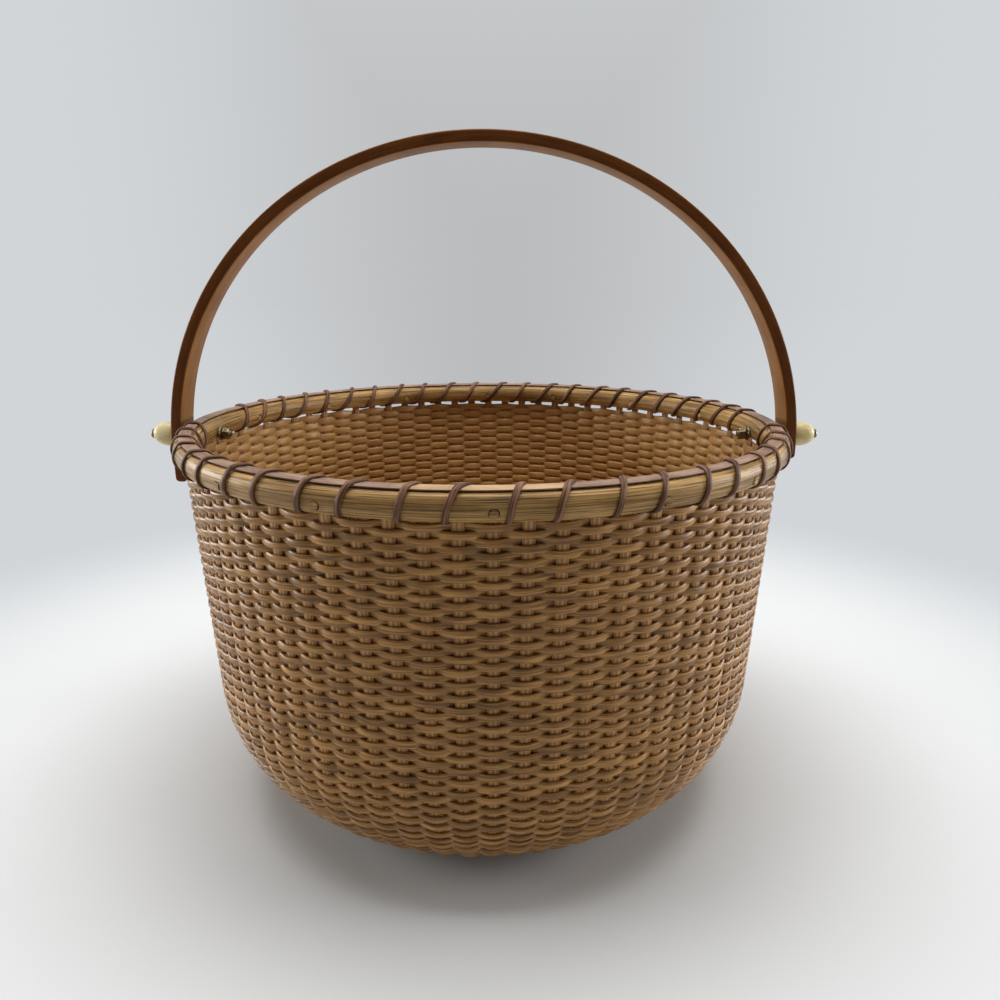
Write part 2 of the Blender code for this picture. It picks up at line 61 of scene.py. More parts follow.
# Taken off before rounding up in a tree, so that a whole number stays as it is
ROUNDING_SLACK = 0.001
FULL_TURN = 2 * math.pi
HALF_TURN = math.pi
QUARTER_TURN = math.pi / 2
# Edges that bend more than these stay sharp, on grown strands and on the other pieces
STRAND_BEND = HALF_TURN / 3
PIECE_BEND = math.radians(50)
# The strand map's first number runs along a strand, in stave spaces, and the second round it
STRAND_MAP = "strand"
# What straw and cane mirror, since light also enters them
WARM = (1.0, 0.82, 0.60)

log = logging.getLogger("basket")

Colour = tuple[float, float, float]
Material = bpy.types.Material
Object = bpy.types.Object
Outline = list[tuple[float, float]]


class Body(Enum):
    """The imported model's moving bodies."""

    BASKET = "basket"
    HANDLE = "handle"


class Slot(Enum):
    """The record's material slots."""

    WEAVER = "weaver_cane"
    STAVE = "stave_wood"
    HOOP = "hoop_wood"
    LASHING = "lashing_cane"
    HANDLE = "handle_wood"
    BASE = "base_wood"
    KNOB = "knob_bone"
    METAL = "pivot_bronze"


class Reading(Enum):
    """What a place on a guide curve counts."""

    LENGTH = "Length"
    SHARE = "Factor"


# Node trees


def maths(operation: str, swapped: bool = False) -> Callable[..., "Value"]:
    """Makes a method that adds a Math node.

    Args:
        operation: What the node works out.
        swapped: Whether the other value comes first.

    Returns:
        The method.
    """

    def method(value: "Value", *others: "Number") -> "Value":
        """The node's result."""
        values = (value, *others)
        return value.tree.math(operation, *(values[::-1] if swapped else values))

    return method


@dataclass(frozen=True)
class Value:
    """A socket, with the arithmetic that adds Math nodes to its tree."""

    tree: "Tree"
    socket: bpy.types.NodeSocket

    __add__, __radd__ = maths("ADD"), maths("ADD", swapped=True)
    __sub__, __rsub__ = maths("SUBTRACT"), maths("SUBTRACT", swapped=True)
    __mul__, __rmul__ = maths("MULTIPLY"), maths("MULTIPLY", swapped=True)
    __truediv__, __rtruediv__ = maths("DIVIDE"), maths("DIVIDE", swapped=True)
    __mod__, floor, ceil = maths("FLOORED_MODULO"), maths("FLOOR"), maths("CEIL")
    sin, cos, root = maths("SINE"), maths("COSINE"), maths("SQRT")
    size, least, most = maths("ABSOLUTE"), maths("MINIMUM"), maths("MAXIMUM")
    above = maths("GREATER_THAN")

    def eased(self, low: float, high: float) -> "Value":
        """A smooth step, from zero at the low value to one at the high one."""
        inputs = {"Value": self, "From Min": low, "From Max": high}
        return self.tree.node("ShaderNodeMapRange", inputs, interpolation_type="SMOOTHSTEP")

    def out(self, name: str) -> "Value":
        """Another output of the same node."""
        return Value(self.tree, self.socket.node.outputs[name])

    def part(self, axis: str) -> "Value":
        """One of the three numbers of a vector."""
        return self.tree.node("ShaderNodeSeparateXYZ", {0: self}, axis)


Number = Value | float | int


class Tree:
    """A node tree that nodes are added to."""

    def __init__(self, tree: bpy.types.NodeTree) -> None:
        """Wraps a tree."""
        self.tree = tree

    def node(
        self,
        kind: str,
        inputs: dict[str | int, Any] | None = None,
        output: str | int = 0,
        **settings: Any,
    ) -> Value:
        """Adds a node.

        Args:
            kind: The node's type.
            inputs: Values or links of its sockets, by name or place.
            output: The output to return.
            settings: The node's own settings, set first. The one named stops gives a ramp's
                colours, at even spaces.

        Returns:
            That output, or the first input of a node without outputs.
        """
        node = self.tree.nodes.new(kind)
        for name, value in settings.items():
            if name == "stops":
                self._set_stops(node.color_ramp, value)
            else:
                setattr(node, name, value)
        for name, value in (inputs or {}).items():
            self._set(node.inputs[name], value)
        return Value(self, node.outputs[output] if node.outputs else node.inputs[0])

    def feed(self, node: str, name: str, value: Any) -> None:
        """Gives a socket of a node that came with the tree its value or link."""
        self._set(self.tree.nodes[node].inputs[name], value)

    def _set(self, socket: bpy.types.NodeSocket, value: Any) -> None:
        """Gives a socket its value or link.

        Args:
            socket: The socket.
            value: A value for it, or what it is linked to.
        """
        if isinstance(value, Value):
            self.tree.links.new(value.socket, socket)
        else:
            socket.default_value = value

    @staticmethod
    def _set_stops(ramp: bpy.types.ColorRamp, colours: Sequence[Colour]) -> None:
        """Gives a ramp its colours.

        Args:
            ramp: The ramp.
            colours: Its two or more colours, which get even spaces.
        """
        while len(ramp.elements) < len(colours):
            ramp.elements.new(1.0)
        for place, colour in enumerate(colours):
            ramp.elements[place].position = place / (len(colours) - 1)
            ramp.elements[place].color = (*colour, 1.0)

    def math(self, operation: str, *values: Number) -> Value:
        """What a Math node works out from its values."""
        return self.node("ShaderNodeMath", dict(enumerate(values)), operation=operation)

    def vector(self, across: Number, along: Number, up: Number) -> Value:
        """A vector made of three numbers."""
        return self.node("ShaderNodeCombineXYZ", {0: across, 1: along, 2: up})

    def vector_math(self, operation: str, *values: Value | tuple[float, float, float]) -> Value:
        """What a Vector Math node works out from its vectors."""
        return self.node("ShaderNodeVectorMath", dict(enumerate(values)), operation=operation)

    def noise(
        self, place: Value, scale: float, detail: float = 2.0, roughness: float = 0.5
    ) -> Value:
        """Noise over a vector, about a half on average."""
        inputs = {"Vector": place, "Scale": scale, "Detail": detail, "Roughness": roughness}
        return self.node("ShaderNodeTexNoise", inputs)

    def drift(self, along: Value, pace: float, seed: float) -> Value:
        """Slow noise over one number, about zero, with a seed of its own."""
        inputs = {"W": along * pace + seed, "Scale": 1.0, "Detail": 1.0}
        return self.node("ShaderNodeTexNoise", inputs, noise_dimensions="1D") - 0.5

    def mixed(self, share: Number, first: Value | Colour, second: Value | Colour) -> Value:
        """The first colour where the share is 0 and the second where it is 1."""
        low, high = (c if isinstance(c, Value) else (*c, 1.0) for c in (first, second))
        return self.node("ShaderNodeMix", {0: share, 6: low, 7: high}, 2, data_type="RGBA")

    def backdrop_rays(self) -> Value:
        """One for the rays that see the background: the camera's, and those off gloss and glass."""
        rays = self.node("ShaderNodeLightPath", {}, "Is Camera Ray")
        return rays.most(rays.out("Is Glossy Ray")).most(rays.out("Is Transmission Ray"))


class ShapeTree(Tree):
    """A Geometry Nodes tree with named inputs, which grows one mesh."""

    def __init__(self, name: str) -> None:
        """Starts the tree.

        Args:
            name: Its name.
        """
        super().__init__(bpy.data.node_groups.new(name, "GeometryNodeTree"))
        self._inputs = self.tree.nodes.new("NodeGroupInput")
        self._add_socket("Geometry", "OUTPUT", "Geometry")

    def _add_socket(self, name: str, way: str, kind: str) -> None:
        """Gives the tree an input or an output."""
        kind = f"NodeSocket{kind}"
        self.tree.interface.new_socket(name=name, in_out=way, socket_type=kind)

    def input(self, name: str, kind: str) -> Value:
        """Adds a named input, and gives its value inside the tree."""
        self._add_socket(name, "INPUT", kind)
        return Value(self, self._inputs.outputs[name])

    def numbers(self, *names: str) -> list[Value]:
        """Adds named inputs that are numbers, and gives their values inside the tree."""
        return [self.input(name, "Float") for name in names]

    def index(self) -> Value:
        """The number of each point."""
        return self.node("GeometryNodeInputIndex")

    def tube(self, rings: Value, sides: int) -> tuple[Value, Value, Value, Value]:
        """A grid whose points are to be wrapped round a path, with an extra ring to shut each end.

        Args:
            rings: How many rings the tube has.
            sides: How many sides its section has.

        Returns:
            The grid, the ring and the corner of each point, and 0 at the extra rings and 1
            elsewhere.
        """
        index = self.index()
        row = (index / (sides + 1)).floor() - 1
        ring = row.most(0.0).least(rings - 1)
        closed = 1 - (ring - row).size().above(0.5)
        return self.grid(rings + 2, sides + 1), ring, index % (sides + 1), closed

    def grid(self, rows: Number, columns: Number) -> Value:
        """A grid of points, to be moved."""
        return self.node("GeometryNodeMeshGrid", {"Vertices X": rows, "Vertices Y": columns})

    def on_curve(self, curve: Value, reading: Reading, place: Value) -> tuple[Value, Value]:
        """Reads a guide curve.

        Args:
            curve: The curve object.
            reading: What the place counts.
            place: Where on the curve.

        Returns:
            The point there, and which way the curve runs.
        """
        guide = self.node("GeometryNodeObjectInfo", {"Object": curve}, "Geometry")
        inputs = {"Curves": guide, reading.value: place}
        sample = self.node("GeometryNodeSampleCurve", inputs, mode=reading.value.upper())
        return sample.out("Position"), sample.out("Tangent")

    def moved(self, geometry: Value, point: Value) -> Value:
        """The geometry with each of its points in a new place."""
        return self.node("GeometryNodeSetPosition", {"Geometry": geometry, "Position": point})

    def copies(self, shape: Value, turn: Value, **points: Number) -> Value:
        """Real, turned copies of a shape, on points given by their Count and Position."""
        inputs = {"Points": self.node("GeometryNodePoints", points), "Instance": shape}
        return self.real(self.node("GeometryNodeInstanceOnPoints", {**inputs, "Rotation": turn}))

    def real(self, geometry: Value) -> Value:
        """The geometry with its instances made real."""
        return self.node("GeometryNodeRealizeInstances", {"Geometry": geometry})

    def smoothed(self, geometry: Value, where: Value | bool, smooth: bool, domain: str) -> Value:
        """The geometry with its smooth shading set where it is asked for."""
        inputs = {"Geometry": geometry, "Selection": where, "Shade Smooth": smooth}
        return self.node("GeometryNodeSetShadeSmooth", inputs, domain=domain)

    def finish(self, geometry: Value, along: Number, around: Number) -> None:
        """Maps, closes, shades and dresses what the tree has made, and ends the tree.

        Args:
            geometry: What the tree has made.
            along: The strand map's first number.
            around: The strand map's second number.
        """
        pair = {"Value": self.vector(along, around, 0.0)}
        settings = {"data_type": "FLOAT_VECTOR", "domain": "POINT"}
        # Read by point before it is kept by corner, so that a closed seam doesn't blur the map
        by_point = self.node("GeometryNodeFieldOnDomain", pair, **settings)
        inputs = {"Geometry": geometry, "Name": STRAND_MAP, "Value": by_point}
        settings = {"data_type": "FLOAT2", "domain": "CORNER"}
        mapped = self.node("GeometryNodeStoreNamedAttribute", inputs, **settings)
        merge = {"Geometry": self.real(mapped), "Distance": MERGE_DISTANCE}
        closed = self.node("GeometryNodeMergeByDistance", merge)
        smooth = self.smoothed(closed, True, True, "FACE")
        bend = self.node("GeometryNodeInputMeshEdgeAngle")
        sharp = self.smoothed(smooth, bend.above(STRAND_BEND), False, "EDGE")
        inputs = {"Geometry": sharp, "Material": self.input("material", "Material")}
        dressed = self.node("GeometryNodeSetMaterial", inputs)
        self.node("NodeGroupOutput", {"Geometry": dressed})

    def grow(self, name: str, sizes: Any, **values: Any) -> Object:
        """Runs the tree once and keeps its plain mesh.

        Args:
            name: The new object's name.
            sizes: The sub-assembly, whose fields give the inputs that have their names.
            values: The other inputs, by name.

        Returns:
            The object, with no modifier.
        """
        obj = new_object(name, bpy.data.meshes.new(name))
        modifier = obj.modifiers.new("Shape", "NODES")
        modifier.node_group = self.tree
        for item in self.tree.interface.items_tree:
            if item.in_out == "INPUT":
                value = values[item.name] if item.name in values else getattr(sizes, item.name)
                modifier[item.identifier] = float(value) if isinstance(value, int) else value
        return settled(obj)


# Shared makers


def new_object(name: str, data: bpy.types.ID) -> Object:
    """Adds an object at the origin.

    Args:
        name: Its name.
        data: Its mesh, curve, light or camera.

    Returns:
        The object.
    """
    obj = bpy.data.objects.new(name, data)
    bpy.context.scene.collection.objects.link(obj)
    return obj


def settled(obj: Object) -> Object:
    """Keeps what an object's modifiers make of it as its plain mesh.

    Args:
        obj: The object.

    Returns:
        The same object, without modifiers.
    """
    graph = bpy.context.evaluated_depsgraph_get()
    mesh = bpy.data.meshes.new_from_object(obj.evaluated_get(graph))
    obj.modifiers.clear()
    obj.data = mesh
    return obj


def made_of(name: str, shape: bmesh.types.BMesh, material: Material | None = None) -> Object:
    """Makes an object of a shape, and frees the shape.

    Args:
        name: The object's name.
        shape: The shape.
        material: Its finish. With one, the object is shaded smooth between its sharp edges.

    Returns:
        The object.
    """
    mesh = bpy.data.meshes.new(name)
    shape.to_mesh(mesh)
    shape.free()
    if material:
        mesh.materials.append(material)
        mesh.shade_smooth()
        mesh.set_sharp_from_angle(angle=PIECE_BEND)
    return new_object(name, mesh)


def guide_curve(name: str, points: Outline, closed: bool = False) -> Object:
    """A hidden curve for a tree to follow.

    Args:
        name: Its name.
        points: Its points, as radius and height.
        closed: Whether it ends where it starts.

    Returns:
        The curve object.
    """
    curve = bpy.data.curves.new(name, "CURVE")
    curve.dimensions = "3D"
    spline = curve.splines.new("POLY")
    spline.points.add(len(points) - 1)
    for point, (radius, height) in zip(spline.points, points):
        point.co = (radius, 0, height, 1)
    spline.use_cyclic_u = closed
    obj = new_object(name, curve)
    obj.hide_render = True
    return obj


def discard(obj: Object) -> None:
    """Removes an object that only helped to make others."""
    bpy.data.objects.remove(obj, do_unlink=True)


def path_length(path: Outline, closed: bool = False) -> float:
    """How long a path is from its first point to its last, or back to its first."""
    return sum(math.dist(a, b) for a, b in zip(path, path[1:] + path[:1] * closed))


def arc(
    centre: tuple[float, float], radius: float, start: float, end: float, steps: int
) -> Outline:
    """Points on an arc, from one angle in degrees to another in so many steps."""
    turns = [math.radians(start + (end - start) * step / steps) for step in range(steps + 1)]
    return [(centre[0] + radius * math.cos(t), centre[1] + radius * math.sin(t)) for t in turns]


def taut_loop(points: Outline, gap: float) -> Outline:
    """The path of a taut strand round some points.

    Args:
        points: The points, in any order.
        gap: How far outside of them the path lies.

    Returns:
        The path, which starts at its lowest point nearest the axis and sets off away from it.
    """
    hull: Outline = []
    ordered = sorted(set(points))
    for run in (ordered, ordered[::-1]):
        side: Outline = []
        for x, y in run:
            while len(side) > 1 and (side[-1][0] - side[-2][0]) * (y - side[-2][1]) <= (
                side[-1][1] - side[-2][1]
            ) * (x - side[-2][0]):
                side.pop()
            side.append((x, y))
        hull += side[:-1]
    path = []
    for before, here, after in zip(hull[-1:] + hull[:-1], hull, hull[1:] + hull[:1]):
        first, last = (
            Vector((end[1] - start[1], start[0] - end[0])).normalized()
            for start, end in ((before, here), (here, after))
        )
        for normal in (first, (first + last).normalized(), last):
            path.append((here[0] + gap * normal.x, here[1] + gap * normal.y))
    lowest = min(height for _, height in path)
    start = min((r, i) for i, (r, z) in enumerate(path) if z - lowest < MERGE_DISTANCE)[1]
    return path[start:] + path[:start]


def rounded(path: Outline, spacing: float, passes: int) -> Outline:
    """A closed path in even steps, with its corners worn round.

    Args:
        path: The path's points, in order.
        spacing: About how far apart the new points are.
        passes: How often each point moves to the mean of itself and its neighbours.

    Returns:
        The new points, from the same start.
    """
    spans = [(a, b, math.dist(a, b)) for a, b in zip(path, path[1:] + path[:1])]
    total = sum(length for _, _, length in spans)
    count = round(total / spacing)
    points, walked, targets = [], 0.0, [total * i / count for i in range(count)]
    for a, b, length in spans:
        while targets and targets[0] < walked + length:
            share = (targets.pop(0) - walked) / length
            points.append(Vector(a).lerp(Vector(b), share))
        walked += length
    for _ in range(passes):
        neighbours = zip(points[-1:] + points, points, points[1:] + points[:1])
        points = [(before + here * 2 + after) / 4 for before, here, after in neighbours]
    return [(point.x, point.y) for point in points]


def outward(angle: float, height: float) -> Matrix:
    """Turns what is made along Z to point out from the axis, at an angle and a height."""
    turn = Matrix.Rotation(angle - QUARTER_TURN, 4, "Z") @ Matrix.Rotation(QUARTER_TURN, 4, "Y")
    return Matrix.Translation((0, 0, height)) @ turn


def turned(name: str, outline: Outline, material: Material, sides: int = 64) -> Object:
    """A solid turned about Z.

    Args:
        name: Its name.
        outline: Its outline, as radius and height, closed or with both ends on the axis.
        material: Its finish.
        sides: How many steps the turn has.

    Returns:
        The object.
    """
    shape = bmesh.new()
    rings = []
    for step in range(sides):
        turn = FULL_TURN * step / sides
        points = [(r * math.cos(turn), r * math.sin(turn), height) for r, height in outline]
        rings.append([shape.verts.new(point) for point in points])
    for here, there in zip(rings, rings[1:] + rings[:1]):
        for i, (radius, _) in enumerate(outline):
            j = (i + 1) % len(outline)
            if radius or outline[j][0]:
                shape.faces.new((here[i], here[j], there[j], there[i]))
    bmesh.ops.remove_doubles(shape, verts=shape.verts, dist=MERGE_DISTANCE)
    bmesh.ops.dissolve_degenerate(shape, edges=shape.edges, dist=MERGE_DISTANCE)
    bmesh.ops.recalc_face_normals(shape, faces=shape.faces)
    return made_of(name, shape, material)


def cut(obj: Object, cutter: Object) -> None:
    """Cuts one object out of another, keeps the result in its mesh and removes the cutter.

    Args:
        obj: What is cut.
        cutter: What cuts it.
    """
    modifier = obj.modifiers.new("Cut", "BOOLEAN")
    modifier.operation = "DIFFERENCE"
    modifier.solver = "EXACT"
    modifier.object = cutter
    settled(obj)
    discard(cutter)


def place_piece(obj: Object, slot: Slot, *nodes: str, body: Body = Body.BASKET) -> None:
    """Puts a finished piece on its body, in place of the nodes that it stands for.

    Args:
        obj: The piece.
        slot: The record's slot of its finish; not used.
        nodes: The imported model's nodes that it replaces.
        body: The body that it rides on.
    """
    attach(obj, body.value)
    if nodes:
        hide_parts(*nodes)
    log.info("%s: %d faces on %s", obj.name, len(obj.data.polygons), body.value)


# Finishes


class Surface(Tree):
    """A material's node tree."""

    def __init__(self, name: str) -> None:
        """Starts a material with one Principled BSDF.

        Args:
            name: Its name.
        """
        self.material = bpy.data.materials.new(name)
        self.material.use_nodes = True
        super().__init__(self.material.node_tree)

    def place(self) -> Value:
        """The point on the object."""
        return self.node("ShaderNodeTexCoord", {}, "Object")

    def scaled_place(self, across: float, deep: float, up: float) -> Value:
        """The point on the object, with each of its parts scaled."""
        return self.vector_math("MULTIPLY", self.place(), (across, deep, up))

    def ramp(self, share: Value, *colours: Colour) -> Value:
        """A colour read from evenly spaced ones by a share from 0 to 1."""
        return self.node("ShaderNodeValToRGB", {0: share}, stops=colours)

    def finish(
        self,
        colour: Value,
        roughness: Number,
        relief: Value,
        depth: float,
        coat: float,
        metallic: float = 0.0,
        specular: float = 0.3,
        tint: Colour = (1.0, 1.0, 1.0),
    ) -> Material:
        """Sets the shader's sockets.

        Args:
            colour: The base colour.
            roughness: The roughness.
            relief: The surface's height, in units of the depth.
            depth: How deep a relief of 1 is.
            coat: How strong the clear coat is.
            metallic: 1 for metal.
            specular: How strongly the surface itself mirrors.
            tint: The colour of what it mirrors.

        Returns:
            The material.
        """
        bump = {"Height": relief, "Distance": depth, "Strength": 1.0}
        sockets = {
            "Base Color": colour,
            "Roughness": roughness,
            "Normal": self.node("ShaderNodeBump", bump),
            "Coat Weight": coat,
            "Coat Roughness": 0.25,
            "Specular IOR Level": specular,
            "Specular Tint": (*tint, 1.0),
            "Metallic": metallic,
        }
        for name, value in sockets.items():
            self.feed("Principled BSDF", name, value)
        return self.material


class StrandSurface(Surface):
    """The surface of a piece with a strand map."""

    def __init__(self, name: str) -> None:
        """Starts the material and reads the map.

        Args:
            name: The material's name.
        """
        super().__init__(name)
        strand = self.node("ShaderNodeUVMap", uv_map=STRAND_MAP)
        self.along, self.around = strand.part("X"), strand.part("Y")

    def streaks(
        self, along: float, around: float, seed: float, detail: float = 2.0, roughness: float = 0.5
    ) -> Value:
        """Noise with its own number of features along the piece and round it."""
        place = self.vector(self.along * along, self.around * around, seed)
        return self.noise(place, 1.0, detail, roughness)


@dataclass(frozen=True)
class CaneFinish:
    """Split cane: fine fibres along a strand, with a colour that changes from span to span."""

    name: str
    light: Colour
    middle: Colour
    dark: Colour
    roughness: float
    coat: float
    relief: float
    contrast: float
    fibres: float = 22.0
    # The strand's inner face: the cane's paler pith, set paler still as painted light for the
    # inside of the basket
    pith_and_inside_light: Colour = (0.50, 0.28, 0.10)
    pith_and_inside_light_share: float = 0.0
    specular: float = 0.5

    def build(self) -> Material:
        """Makes the material.

        Returns:
            The material.
        """
        surface = StrandSurface(self.name)
        fibre = surface.streaks(0.9, self.fibres, 0.0, 3.0, 0.6)
        streak = surface.streaks(0.22, 5.0, 7.0)
        patch = surface.noise(surface.vector(surface.along * 0.35, 3.0, 0.0), 1.0, 3.0, 0.6)
        tone = fibre * 0.42 + streak * 0.28 + patch * 0.30
        share = tone.eased(0.5 - self.contrast, 0.5 + self.contrast)
        colour = surface.ramp(share, self.dark, self.middle, self.light)
        # The inner face takes the pith's colour, which is partly real pith and partly painted light
        inner = (surface.around * FULL_TURN).sin().eased(0.0, 0.4) * self.pith_and_inside_light_share
        colour = surface.mixed(inner * (fibre * 0.6 + 0.6), colour, self.pith_and_inside_light)
        rough = self.roughness + (fibre - 0.5) * 0.25
        relief, sheen = fibre + streak * 0.5, {"specular": self.specular, "tint": WARM}
        return surface.finish(colour, rough, relief, self.relief, self.coat, **sheen)


@dataclass(frozen=True)
class CapFinish:
    """Flat cane, pale over one stretch and darker over the rest."""

    pale: Colour
    pale_dark: Colour
    dull: Colour
    dull_dark: Colour
    pale_from: float = 36.1
    pale_to: float = 40.0
    fade_length: float = 1.2
    joint_length: float = 0.05

    def build(self) -> Material:
        """Makes the material.

        Returns:
            The material.
        """
        surface = StrandSurface("cap_cane")
        fibre = surface.streaks(0.8, 34.0, 0.0, 3.0, 0.6)
        patch = surface.streaks(0.7, 2.0, 4.0, 3.0, 0.6)
        tone = (fibre * 0.5 + patch * 0.5).eased(0.34, 0.66)
        pale = surface.ramp(tone, self.pale_dark, self.pale)
        dull = surface.ramp(tone, self.dull_dark, self.dull)
        start = surface.along.eased(self.pale_from - self.fade_length, self.pale_from)
        end = 1 - surface.along.eased(self.pale_to, self.pale_to + self.joint_length)
        colour = surface.mixed(start * end, dull, pale)
        return surface.finish(colour, 0.42 + fibre * 0.2, fibre + patch * 0.4, 0.0001, 0.1)


@dataclass(frozen=True)
class RibbedFinish:
    """Split rattan with fine ribs along it, for the staves."""

    name: str
    light: Colour
    dark: Colour
    ribs: float = 9.0
    roughness: float = 0.5
    relief: float = 0.00016

    def build(self) -> Material:
        """Makes the material.

        Returns:
            The material.
        """
        surface = StrandSurface(self.name)
        shift = surface.streaks(0.3, 2.0, 0.0, 1.0) * 1.5
        rib = (surface.around * (self.ribs * FULL_TURN) + shift).sin() * 0.5 + 0.5
        fibre = surface.streaks(1.2, 40.0, 0.0, 3.0, 0.6)
        patch = surface.streaks(0.5, 1.5, 5.0, 3.0)
        # Painted shade: the grooves between the ribs are darker, in step with their relief
        tone = rib * 0.25 + fibre * 0.35 + patch * 0.4
        colour = surface.ramp(tone.eased(0.25, 0.75), self.dark, self.light)
        rough = self.roughness + (fibre - 0.5) * 0.2
        return surface.finish(colour, rough, rib * 0.7 + fibre * 0.6, self.relief, 0.05)


@dataclass(frozen=True)
class GrainFinish:
    """Straight-grained wood whose fine dark lines run along the piece."""

    name: str
    light: Colour
    middle: Colour
    dark: Colour
    line: Colour
    lines: float = 42.0
    line_share: float = 0.85
    roughness: float = 0.42
    coat: float = 0.05
    relief: float = 0.00012

    def build(self) -> Material:
        """Makes the material.

        Returns:
            The material.
        """
        surface = StrandSurface(self.name)
        grain = surface.streaks(0.25, self.lines, 0.0, 3.0, 0.65)
        band = surface.streaks(0.12, 5.0, 3.0)
        patch = surface.streaks(0.4, 1.2, 9.0, 3.0, 0.6)
        tone = grain * 0.5 + band * 0.25 + patch * 0.25
        plain = surface.ramp(tone.eased(0.34, 0.66), self.dark, self.middle, self.light)
        scratch = surface.streaks(0.3, self.lines * 1.3, 17.0)
        marks = (1 - scratch.eased(0.37, 0.43)) * self.line_share
        colour = surface.mixed(marks, plain, self.line)
        rough = self.roughness + (grain - 0.5) * 0.25
        relief, sheen = grain - marks * 0.8, {"specular": 0.35, "tint": WARM}
        return surface.finish(colour, rough, relief, self.relief, self.coat, **sheen)


@dataclass(frozen=True)
class HandleFinish:
    """Oiled hardwood, with painted shade on its edges and painted light on its two broad faces,
    which are lighter and warmer.
    """

    name: str
    # The edges' colours are painted shade, and the broad faces' colours are painted light
    edge: Colour
    shaded_edge_light: Colour
    face: Colour
    lit_face_light: Colour
    roughness: float = 0.42

    def build(self) -> Material:
        """Makes the material.

        Returns:
            The material.
        """
        surface = StrandSurface(self.name)
        grain = surface.streaks(0.5, 60.0, 0.0, 4.0, 0.65)
        band = surface.streaks(0.25, 8.0, 4.0)
        wear = surface.streaks(0.9, 3.0, 8.0, 3.0)
        tone = (grain * 0.45 + band * 0.35 + wear * 0.2).eased(0.34, 0.66)
        # Painted light and shade: the broad faces get the lighter colours and the edges the darker
        # ones
        broad = (surface.around * (2 * FULL_TURN)).sin().eased(-0.1, 0.3)
        edges = surface.ramp(tone, self.edge, self.shaded_edge_light)
        faces = surface.ramp(tone, self.face, self.lit_face_light)
        colour = surface.mixed(broad, edges, faces)
        rough = self.roughness + (grain - 0.5) * 0.3
        return surface.finish(colour, rough, grain, 0.00006, 0.04, specular=0.08)


@dataclass(frozen=True)
class TurnedWoodFinish:
    """A turned board: straight grain across it and fine tool rings round it."""

    name: str
    light: Colour
    dark: Colour
    ring_pace: float = 9000.0

    def build(self) -> Material:
        """Makes the material.

        Returns:
            The material.
        """
        surface = Surface(self.name)
        grain = surface.noise(surface.scaled_place(900.0, 60.0, 900.0), 1.0, 4.0, 0.6)
        broad = surface.noise(surface.scaled_place(140.0, 14.0, 140.0), 1.0)
        across, deep = surface.place().part("X"), surface.place().part("Y")
        radius = (across * across + deep * deep).root()
        rings = (radius * self.ring_pace).sin() * 0.5 + 0.5
        tone = (grain * 0.5 + broad * 0.5).eased(0.3, 0.7)
        colour = surface.ramp(tone, self.dark, self.light)
        return surface.finish(colour, 0.4 + grain * 0.15, rings * 0.3 + grain, 0.00005, 0.1)


@dataclass(frozen=True)
class BoneFinish:
    """Polished bone with faint pores along X, the way that the knobs point."""

    name: str
    light: Colour
    dark: Colour

    def build(self) -> Material:
        """Makes the material.

        Returns:
            The material.
        """
        surface = Surface(self.name)
        pores = surface.noise(surface.scaled_place(300.0, 1600.0, 1600.0), 1.0, 3.0)
        cloud = surface.noise(surface.place(), 160.0)
        tone = (pores * 0.4 + cloud * 0.6).eased(0.3, 0.7)
        colour = surface.ramp(tone, self.dark, self.light)
        return surface.finish(colour, 0.4 + pores * 0.15, pores, 0.00002, 0.12)


@dataclass(frozen=True)
class BronzeFinish:
    """Old bronze: dark and dull in its hollows, bright where it is rubbed."""

    name: str
    bright: Colour
    dark: Colour

    def build(self) -> Material:
        """Makes the material.

        Returns:
            The material.
        """
        surface = Surface(self.name)
        tarnish = surface.noise(surface.place(), 900.0, 3.0, 0.6)
        colour = surface.ramp(tarnish.eased(0.35, 0.65), self.dark, self.bright)
        return surface.finish(colour, 0.55 - tarnish * 0.3, tarnish, 0.00003, 0.0, metallic=1.0)


# Shapes that several sub-assemblies share


